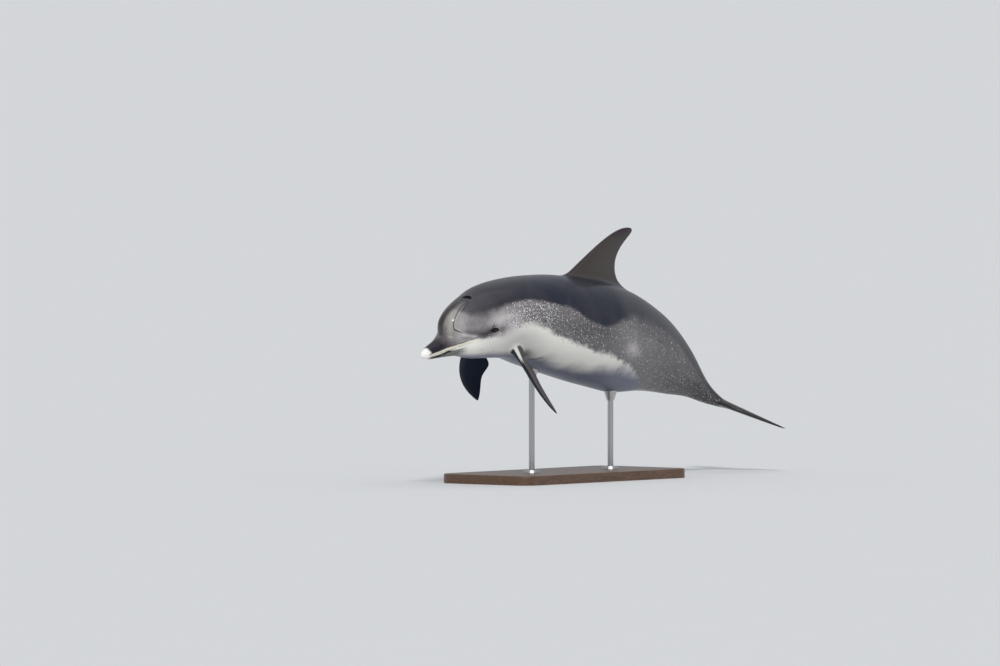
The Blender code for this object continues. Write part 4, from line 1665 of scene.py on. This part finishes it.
@dataclass(frozen=True)
class SkinFinish:
    """Wet skin: dark cape, flecked grey flank, pale belly, bridled face and a white-tipped beak, with painted
    shade beneath the belly and the jaw, in creases and hollows and on the flippers, and a painted sheen on
    the melon.
    """

    cape: Colour = (0.012, 0.016, 0.031)
    cape_light: Colour = (0.032, 0.030, 0.041)
    flank_dark: Colour = (0.042, 0.040, 0.045)
    flank: Colour = (0.170, 0.160, 0.168)
    flank_light: Colour = (0.52, 0.49, 0.50)
    belly: Colour = (0.86, 0.84, 0.79)
    chest: Colour = (0.56, 0.55, 0.53)
    # painted shade of the underside, tinted blue as a painted reflection of water
    under: Colour = (0.165, 0.185, 0.245)
    fleck: Colour = (0.78, 0.76, 0.77)
    dark: Colour = (0.018, 0.014, 0.018)
    # near black: the smudge round the eye and the lids' inner rims, and painted shade in the eye's pocket and
    # inside the blowhole
    black_and_hollow_shade: Colour = (0.004, 0.003, 0.004)
    # brown of the melon's crown, which also stands in as painted shade on the right side
    melon: Colour = (0.040, 0.032, 0.031)
    # pale strip on the melon, partly pale skin and partly painted sheen
    strip: Colour = (0.40, 0.38, 0.34)
    beak: Colour = (0.018, 0.013, 0.022)
    beak_root: Colour = (0.115, 0.095, 0.105)
    tip: Colour = (0.90, 0.88, 0.85)
    lip: Colour = (0.68, 0.65, 0.54)
    # grey under the front of the lower jaw, painted shade
    chin_shade: Colour = (0.20, 0.21, 0.19)
    dorsal: Colour = (0.058, 0.048, 0.043)
    dorsal_tip: Colour = (0.034, 0.020, 0.028)
    flipper: Colour = (0.085, 0.068, 0.066)
    flipper_root: Colour = (0.060, 0.062, 0.056)
    # painted shade: near-black blue on the flippers' inner faces and leading edges, also used to darken their
    # tips
    flipper_inner_shade: Colour = (0.010, 0.018, 0.036)
    navy_and_fin_shade: Colour = (0.006, 0.011, 0.024)
    fluke: Colour = (0.040, 0.038, 0.042)

    def build(self) -> bpy.types.Material:
        """Makes the material.

        Returns:
            The material.
        """
        g = Graph("wet_dolphin_skin")
        soft, fine, wobble = g.noise(9.0, 3.0), g.noise(60.0, 3.0), g.noise(26.0, 2.0)
        along = g.note("along")
        colour = self.flank_tones(g, soft, fine)
        ragged = g.note("belly") + (wobble - 0.5) * 9 + (fine - 0.5) * 6
        white = g.step(ragged, -4.0, 4.0 + g.note("chest") * 9)
        colour = g.mix(white, colour, self.underside(g, along, soft))
        colour = self.back(g, colour, along, soft, wobble)
        colour = self.specks(g, colour, white, soft)
        # Dark marks in near black, with painted shade in the crease and the armpit among them.
        streak = g.note("streak") * (0.7 + fine * 0.6)
        colour = g.mix(g.least(streak, 1.0), colour, self.dark)
        colour = self.bridle_line(g, colour, fine)
        colour = self.eye_surround(g, colour, fine)
        colour = self.snout(g, colour, along, fine)
        colour = self.fins(g, colour, soft, fine)
        # Near black on the lids' inner rims, and painted shade in the pocket behind them.
        colour = g.mix(g.step(g.note("lid"), 0.75, 0.95), colour, self.black_and_hollow_shade)
        # Painted shade inside the blowhole.
        colour = g.mix(g.step(g.note("blowhole"), 0.90, 1.0), colour, self.black_and_hollow_shade)
        rough = 0.30 + (soft - 0.5) * 0.14 + (fine - 0.5) * 0.10 + white * 0.12
        relief = fine * 0.5 + g.noise(240.0, 2.0) * 0.25 + soft
        return g.dress(colour, rough, relief, 0.14, 1.2 * MILLIMETRE, Coat_Weight=0.17, Coat_Roughness=0.10,
                       Specular_IOR_Level=0.15)

    def flank_tones(self, g: Graph, soft: Value, fine: Value) -> Value:
        """The grey of the sides, dark at 0, middling at a half and light at 1.

        Args:
            g: The finish's nodes.
            soft: Wide noise.
            fine: Fine noise.

        Returns:
            The colour.
        """
        tone = g.note("tone") + (soft - 0.5) * 0.30 + (fine - 0.5) * 0.22
        return g.mix(g.step(tone, 0.45, 1.05), g.mix(g.step(tone, 0.0, 0.5), self.flank_dark, self.flank),
                     self.flank_light)

    def underside(self, g: Graph, along: Value, soft: Value) -> Value:
        """Off-white belly, greyer on the chest, and slate grey beneath that is painted shade of the
        underside, tinted blue as a painted reflection of water.

        Args:
            g: The finish's nodes.
            along: Place along the body.
            soft: Wide noise.

        Returns:
            The colour.
        """
        cloud = (soft - 0.5) * 24
        pale = g.mix(g.note("chest") * (0.55 + soft * 0.8), self.belly, self.chest)
        # Painted shade: slate grey beneath the belly, its edge higher towards the tail.
        low = g.note("girth") + cloud - 11 * g.step(along, 41.0, 50.0)
        return g.mix(g.step(low, -38.0, -64.0), pale, self.under)

    def back(self, g: Graph, colour: Value, along: Value, soft: Value, wobble: Value) -> Value:
        """The dark cape, and the melon's pale strips, partly pale skin and partly painted sheen, either side
        of its brown crown, which reaches over the right side as painted shade.

        Args:
            g: The finish's nodes.
            colour: The colour so far.
            along: Place along the body.
            soft: Wide noise.
            wobble: Middling noise.

        Returns:
            The colour with the cape and the melon on it.
        """
        share = g.step(g.note("cape") + (wobble - 0.5) * 1.1, -1.0, 1.0) * g.note("cape_depth")
        brown = g.most(g.step(soft, 0.35, 0.75), 1 - g.step(along, 18.0, 32.0))
        colour = g.mix(share, colour, g.mix(brown, self.cape, self.cape_light))
        # Pale strips, partly pale skin and partly painted sheen.
        colour = g.mix(g.note("strip") * (0.90 + (soft - 0.5) * 0.4), colour, self.strip)
        # Brown crown, reaching over the right side as painted shade.
        crown = g.note("crown") * g.step(along, 6.8, 7.2) * (1 - g.step(along, 11.5, 14.0))
        return g.mix(crown, colour, self.melon)

    def specks(self, g: Graph, colour: Value, white: Value, soft: Value) -> Value:
        """Pale flecks on the grey, dark ones between them, and dark dots on the belly.

        Args:
            g: The finish's nodes.
            colour: The colour so far.
            white: How far the belly's white covers.
            soft: Wide noise.

        Returns:
            The colour with the flecks on it.
        """
        arc = self.bent(g)
        flecks = g.note("fleck") * (0.45 + g.noise(45.0, 2.0) * 1.1)
        dim = g.spots(95.0, 0.34, flecks * 0.7, arc, 7.3)
        colour = g.mix(dim * 0.65, colour, self.flank_dark)
        small = g.spots(165.0, 0.34, flecks * 0.65, arc, 3.1)
        middling = g.spots(105.0, 0.30, flecks * 0.75, arc, 5.6)
        large = g.spots(72.0, 0.27, flecks * 0.55, arc)
        pale = g.most(g.most(small * 0.5, middling * 0.75), large * 0.95)
        bright = 1 - g.step(g.note("along"), 25.0, 34.0) * 0.40
        colour = g.mix(pale * (1 - white * 0.4) * bright, colour, self.fleck)
        dots = g.spots(26.0, 0.12, g.note("dots") * 0.35, arc, 5.0) * (0.35 + 0.5 * soft) * white
        edge = g.spots(130.0, 0.34, g.note("edge_dots") * 0.55, arc, 1.7)
        return g.mix(g.most(dots, edge * 0.75), colour, self.dark)

    def bridle_line(self, g: Graph, colour: Value, fine: Value) -> Value:
        """The thin dark line round the cheek and the pale one inside it.

        Args:
            g: The finish's nodes.
            colour: The colour so far.
            fine: Fine noise.

        Returns:
            The colour with both lines on it.
        """
        side, depth = g.note("bridle_side") + (fine - 0.5) * 1.2, g.note("bridle_depth")
        inner = 1 - g.step(g.math("ABSOLUTE", side + 4.6), 1.0, 4.4)
        colour = g.mix(inner * depth * 0.30, colour, self.flank_light)
        line = 1 - g.step(g.math("ABSOLUTE", side), 0.7, 2.5)
        return g.mix(line * depth * (0.70 + fine * 0.30), colour, self.dark)

    def eye_surround(self, g: Graph, colour: Value, fine: Value) -> Value:
        """The dark smudge round the eye and the flecks over it.

        Args:
            g: The finish's nodes.
            colour: The colour so far.
            fine: Fine noise.

        Returns:
            The colour with the smudge on it.
        """
        arc = self.bent(g)
        flecks = g.note("eye_flecks")
        colour = g.mix(g.spots(150.0, 0.34, flecks * 0.6, arc, 2.2) * 0.6, colour, self.dark)
        colour = g.mix(g.spots(140.0, 0.30, flecks * 0.4, arc, 9.2) * 0.6, colour, self.fleck)
        smudge = g.step(g.note("patch") + (fine - 0.5) * 0.6, 0.28, 0.55)
        return g.mix(smudge, colour, self.black_and_hollow_shade)

    @staticmethod
    def bent(g: Graph) -> Value:
        """Metres along and round the body, pushed about a little so that spots aren't round.

        Args:
            g: The finish's nodes.

        Returns:
            The flat coordinates.
        """
        push = g.node("TexNoise", None, {"Vector": g.place(), "Scale": 140.0, "Detail": 1.0})
        arc = g.value(g.node("Attribute", {"attribute_name": "arc"}), "Vector")
        shift = g.node("VectorMath", {"operation": "MULTIPLY_ADD"},
                       {0: g.value(push, "Color"), 1: (0.004,) * 3, 2: arc})
        return g.value(shift)

    def snout(self, g: Graph, colour: Value, along: Value, fine: Value) -> Value:
        """The beak: dark upper jaw, pale lower lip, a dark line under it and grey below that, both painted
        shade of the lower jaw's underside, and a white tip.

        Args:
            g: The finish's nodes.
            colour: The colour so far.
            along: Place along the body.
            fine: Fine noise.

        Returns:
            The colour with the beak on it.
        """
        lip = g.note("lip")
        upper = g.step(lip, -0.02, 0.03)
        jaw = g.mix(g.step(along + (fine - 0.5), 5.0, 7.2), self.beak, self.beak_root)
        colour = g.mix(upper * (1 - g.step(along + (fine - 0.5), 6.6, 8.0)), colour, jaw)
        below = 1 - upper
        front = 1 - g.step(along + (fine - 0.5), 8.0, 10.5)
        # Painted shade: grey under the lower jaw towards the tip.
        colour = g.mix(below * front * g.step(lip, -1.1, -1.6), colour, self.chin_shade)
        ragged = lip + (fine - 0.5) * 0.35
        # Dark band under the pale lip, painted shade along the lower jaw's underside.
        line = g.step(ragged, -1.9, -1.5) * (1 - g.step(ragged, -1.05, -0.8))
        line = line * (1 - g.step(along, 6.0, 8.0))
        cream = below * g.step(ragged, -1.15, -0.8) * (1 - g.step(along, 9.0, 12.5))
        colour = g.mix(cream * 0.9, colour, self.lip)
        colour = g.mix(g.least(line * (0.5 + fine * 0.9), 1.0), colour, self.dark)
        dotted = below * g.step(lip, -1.2, -0.9) * (1 - g.step(lip, -0.75, -0.5)) * front
        colour = g.mix(g.spots(130.0, 0.45, dotted * 0.6) * 0.8, colour, self.dark)
        mouth = lip + (fine - 0.5) * 0.16
        seam = g.step(mouth, -0.20, -0.04) * (1 - g.step(mouth, 0.04, 0.18))
        seam = seam * (1 - g.step(along, 10.5, 12.5))
        colour = g.mix(seam * (0.45 + fine * 0.6), colour, self.dark)
        white = 1 - g.step(along + (fine - 0.5) * 0.6 - upper * 0.25, 1.65, 2.35)
        return g.mix(white, colour, self.tip)

    def fins(self, g: Graph, colour: Value, soft: Value, fine: Value) -> Value:
        """Brown-grey dorsal fin, flippers grey outside with dark blue painted shade on their inner faces and
        leading edges, mottled flukes.

        Args:
            g: The finish's nodes.
            colour: The colour so far.
            soft: Wide noise.
            fine: Fine noise.

        Returns:
            The colour with the fins on it.
        """
        share, chord, face = g.notes("fin_place")
        tip, mottle = g.step(share, 0.70, 0.98), (soft - 0.5) * 0.8 + (fine - 0.5) * 0.5
        rim = g.most(1 - g.step(chord, 0.004, 0.030), g.step(chord, 0.975, 0.995))
        dorsal = g.mix(mottle + 0.2, self.dorsal, self.flank_dark)
        dorsal = g.mix(g.most(rim, tip * 0.8), dorsal, self.dorsal_tip)
        outer = g.mix(mottle + 0.3, self.flipper, self.flank_dark)
        root = 1 - g.step(share + (fine - 0.5) * 0.1, 0.12, 0.28)
        outer = g.mix(root, outer, self.flipper_root)
        outer = g.mix(root * (1 - g.step(chord, 0.03, 0.09)) * 0.8, outer, self.belly)
        # Near-black leading edge, painted shade of its rounding, and a darker tip.
        edge = g.most(1 - g.step(chord + (fine - 0.5) * 0.03, 0.015, 0.07), g.step(share, 0.75, 1.0))
        outer = g.mix(edge * g.step(share, 0.10, 0.22), outer, self.navy_and_fin_shade)
        # The flippers' inner faces, near-black blue as painted shade.
        flipper = g.mix(g.step(face, 0.10, -0.10), outer, g.mix(soft, self.flipper_inner_shade, self.navy_and_fin_shade))
        fluke = g.mix(mottle + 0.5, self.fluke, self.dark)
        for kind, own, spread in zip(g.notes("fin_kind"), (dorsal, flipper, fluke), (0.55, 0.35, 0.6)):
            low, high = 0.5 - spread * 0.5, 0.5 + spread * 0.5
            colour = g.mix(g.step(kind + (soft - 0.5) * 0.35, low, high), colour, own)
        ridge = g.step(g.note("along") + (soft - 0.5) * 3.0, 93.0, 96.5)
        return g.mix(ridge, colour, fluke)


@dataclass(frozen=True)
class EyeFinish:
    """A dark wet eye: brown iris and a wide dark pupil."""

    ball: Colour = (0.006, 0.005, 0.005)
    iris: Colour = (0.016, 0.009, 0.005)
    pupil: Colour = (0.002, 0.002, 0.003)

    def build(self) -> bpy.types.Material:
        """Makes the material.

        Returns:
            The material.
        """
        g = Graph("wet_eye")
        across, up, _out = g.notes("gaze")
        away = g.math("SQRT", across**2 + up**2)
        rays = g.noise(3.0, 4.0, g.place((400, 400, 400)))
        iris = g.mix(rays, self.iris, self.ball)
        colour = g.mix(g.step(away, 0.50, 0.56), iris, self.ball)
        pupil = g.math("SQRT", (across * 0.75) ** 2 + (up * 1.1) ** 2)
        colour = g.mix(g.step(pupil, 0.26, 0.22), colour, self.pupil)
        return g.dress(colour, 0.08 + rays * 0.05, Coat_Weight=0.25, Coat_Roughness=0.03,
                       Specular_IOR_Level=0.2)


@dataclass(frozen=True)
class WoodFinish:
    """Oiled dark wood, its grain along the base."""

    light: Colour = (0.135, 0.068, 0.034)
    dark: Colour = (0.050, 0.024, 0.013)

    def build(self) -> bpy.types.Material:
        """Makes the material.

        Returns:
            The material.
        """
        g = Graph("oiled_wood")
        place = g.place((1.0, 9.0, 9.0))
        rings = g.noise(5.5, 5.0, place, Distortion=1.2)
        grain = g.noise(60.0, 4.0, g.place((1.0, 22.0, 22.0)))
        bands = g.math("FRACT", rings * 7.0)
        bands = g.step(bands, 0.0, 0.75) * (1 - g.step(bands, 0.85, 1.0))
        colour = g.mix(bands * 0.75 + (grain - 0.5) * 0.6, self.light, self.dark)
        pores = g.step(grain, 0.60, 0.70)
        colour = g.mix(pores * 0.45, colour, self.dark)
        return g.dress(colour, 0.34 + grain * 0.18, 1 - pores + bands * 0.2, 0.25, 0.4 * MILLIMETRE,
                       Coat_Weight=0.25, Coat_Roughness=0.2)


@dataclass(frozen=True)
class SteelFinish:
    """Brushed stainless steel."""

    base: Colour = (0.56, 0.56, 0.57)
    worn: Colour = (0.40, 0.40, 0.41)

    def build(self) -> bpy.types.Material:
        """Makes the material.

        Returns:
            The material.
        """
        g = Graph("brushed_steel")
        lines = g.noise(40.0, 3.0, g.place((1.0, 1.0, 30.0)))
        cloud = g.noise(14.0, 2.0)
        colour = g.mix(cloud * 0.6 + lines * 0.3, self.base, self.worn)
        return g.dress(colour, 0.26 + lines * 0.16, lines, 0.12, 0.2 * MILLIMETRE, Metallic=1.0)


@dataclass
class Skin:
    """The animal's whole skin."""

    sheet: SkinSheet = field(default_factory=SkinSheet)
    finish: SkinFinish = SkinFinish()
    markings: Markings = Markings()
    weld: float = 0.02 * MILLIMETRE     # points nearer than this are one point
    piece: bpy.types.Object = None

    def build(self) -> bpy.types.Object:
        """Rolls the sheet, grows what stands out of it and joins all into one skin.

        Returns:
            The skin.
        """
        grown = [dorsal_fin().grow(self.sheet, "dorsal_skin")]
        for side, name in ((1, "left"), (-1, "right")):
            grown.append(flipper(side).grow(self.sheet, "flipper_skin_" + name))
            grown.append(fluke(side).grow(self.sheet, "fluke_skin_" + name))
            grown.append(Lids().grow(self.sheet, side, "lids_" + name))
        grown.append(Blowhole().grow(self.sheet, "blowhole_rim"))
        self.piece = self.sheet.roll()
        deselect()
        for part in grown:
            part.select_set(True)
        self.piece.select_set(True)
        bpy.context.view_layer.objects.active = self.piece
        bpy.ops.object.join()
        finish_mesh(merge=self.weld)
        self.dress()
        self.piece.data.transform(POSE)
        return self.piece

    def dress(self) -> None:
        """Notes the markings on the skin's points and gives it its finish."""
        points = points_of(self.piece)
        at, side, up = BODY.unplace(points)
        angle = (np.degrees(np.arctan2(up - BODY.middle(at), side)) + 90) % 360 - 90
        folded = points * (1, 0, 1) - np.abs(points) * (0, 1, 0)
        for name, values in self.markings.notes(at, angle, folded).items():
            note(self.piece, name, values)
        self.piece.data.materials.append(self.finish.build())


@dataclass
class Eye:
    """One eyeball, set in the pocket behind the lids."""

    lids: Lids = field(default_factory=Lids)
    segments: int = 48
    rows: int = 32
    cornea: float = 0.5 * MILLIMETRE

    def build(self, side: int, name: str, finish: bpy.types.Material) -> bpy.types.Object:
        """Makes the eyeball with its cornea.

        Args:
            side: 1 on the left and -1 on the right.
            name: The new object's name.
            finish: Its material.

        Returns:
            The eyeball.
        """
        deselect()
        bpy.ops.mesh.primitive_uv_sphere_add(segments=self.segments, ring_count=self.rows, radius=1.0)
        ball = bpy.context.object
        ball.name = name
        centre = self.lids.centre(side)
        skin = BODY.skin(self.lids.along, 0.0 if side > 0 else 180.0)
        out = unit(skin - centre)
        ahead = unit(np.array((-1.0, 0.0, 0.0)) + out * out[0])
        up = np.cross(ahead, out) * (1 if side < 0 else -1)
        gaze = points_of(ball)
        swell = self.lids.ball_radius + self.cornea * ease(gaze[:, 2], 0.80, 0.95)
        points = centre + swell[:, None] * (gaze[:, :1] * ahead + gaze[:, 1:2] * up + gaze[:, 2:] * out)
        ball.data.vertices.foreach_set("co", points.reshape(-1).astype(np.float32))
        note(ball, "gaze", gaze)
        finish_mesh(merge=0.0)
        ball.data.transform(POSE)
        ball.data.materials.append(finish)
        return ball


@dataclass
class Stand:
    """The display stand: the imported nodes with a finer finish."""

    base: str = "stand_base"
    metal: tuple = ("stand_foot_front", "stand_foot_rear", "stand_rod_front", "stand_rod_rear",
                    "stand_saddle_front", "stand_saddle_rear")

    def dress(self) -> None:
        """Gives the base its wood and the rods their steel."""
        wood, steel = WoodFinish().build(), SteelFinish().build()
        for name in (self.base, *self.metal):
            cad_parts[name].material_slots[0].material = wood if name == self.base else steel


@dataclass
class Studio:
    """Pale floor, soft lamps and the camera."""

    floor_radius: float = 300.0
    floor_colour: Colour = (0.68, 0.69, 0.71)
    sky: Colour = (0.92, 0.96, 1.0)
    sky_strength: float = 0.50
    suns: tuple = (     # way towards the light, breadth in degrees, strength, colour
        ((0.1, -0.1, 1.0), 60.0, 0.45, (1.0, 0.99, 0.97)),
        ((-0.56, -0.47, 0.70), 12.0, 1.75, (1.0, 0.98, 0.95)),
    )
    azimuth: float = math.radians(-51.0)
    elevation: float = math.radians(2.0)
    distance: float = 80.0
    lens: float = 754.56            # focal length in millimetres: a view about 3.8 m wide
    sensor: float = 36.0
    offset: tuple[float, float] = (0.310, 0.067)     # middle of the view from the snout, right and up
    depth: float = 0.6              # how far behind the snout the view is centred
    clip: float = 1000.0

    def build(self) -> None:
        """Makes all of it."""
        self.floor()
        self.world()
        self.lamps()
        self.camera()
        bpy.context.scene.view_settings.view_transform = "Standard"

    def floor(self) -> None:
        """A wide pale floor that runs into the pale surroundings."""
        deselect()
        bpy.ops.mesh.primitive_circle_add(vertices=128, radius=self.floor_radius, fill_type="TRIFAN")
        floor = bpy.context.object
        floor.name = "studio_floor"
        g = Graph("studio_floor")
        g.dress(g.mix(g.noise(3.0), self.floor_colour, tuple(c * 0.985 for c in self.floor_colour)), 0.75)
        floor.data.materials.append(g.material)

    def world(self) -> None:
        """Even pale light from all round, brighter from above."""
        world = bpy.data.worlds.new("studio")
        bpy.context.scene.world = world
        world.use_nodes = True
        background = world.node_tree.nodes["Background"]
        background.inputs["Color"].default_value = (*self.sky, 1.0)
        background.inputs["Strength"].default_value = self.sky_strength

    def lamps(self) -> None:
        """A broad soft light from overhead and a narrower, stronger one from the left front."""
        for toward, breadth, strength, colour in self.suns:
            bpy.ops.object.light_add(type="SUN", location=Vector(toward) * 5)
            lamp = bpy.context.object
            lamp.data.angle = math.radians(breadth)
            lamp.data.energy = strength
            lamp.data.color = colour
            lamp.rotation_euler = Vector(toward).to_track_quat("Z", "Y").to_euler()

    def camera(self) -> None:
        """A long lens, low over the floor, from ahead of the left side."""
        a, e = self.azimuth, self.elevation
        back = Vector((math.sin(a) * math.cos(e), -math.cos(a) * math.cos(e), math.sin(e)))
        right = Vector((math.cos(a), math.sin(a), 0))
        up = back.cross(right)
        target = SNOUT + right * self.offset[0] + up * self.offset[1] - back * self.depth
        bpy.ops.object.camera_add(location=target + back * self.distance)
        camera = bpy.context.object
        camera.rotation_mode = "QUATERNION"
        camera.rotation_quaternion = back.to_track_quat("Z", "Y")
        camera.data.sensor_width = self.sensor
        camera.data.lens = self.lens
        camera.data.clip_end = self.clip
        bpy.context.scene.camera = camera


def triangles(piece: bpy.types.Object) -> int:
    """How many triangles a piece comes to."""
    return sum(len(face.vertices) - 2 for face in piece.data.polygons)


def main() -> None:
    """Builds and dresses every piece."""
    logging.basicConfig(level=logging.INFO, format="%(name)s: %(message)s")
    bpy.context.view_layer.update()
    piece = Skin().build()
    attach(piece, "root")
    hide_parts(*NODES_OF_FLESH)
    log.info("skin: %d triangles", triangles(piece))
    finish = EyeFinish().build()
    for side, name in ((1, "left"), (-1, "right")):
        ball = Eye().build(side, "eyeball_" + name, finish)
        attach(ball, "root")
        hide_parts("eye_" + name)
        log.info("eyeball_%s: %d triangles", name, triangles(ball))
    Stand().dress()
    Studio().build()


if __name__ == "__main__":
    main()
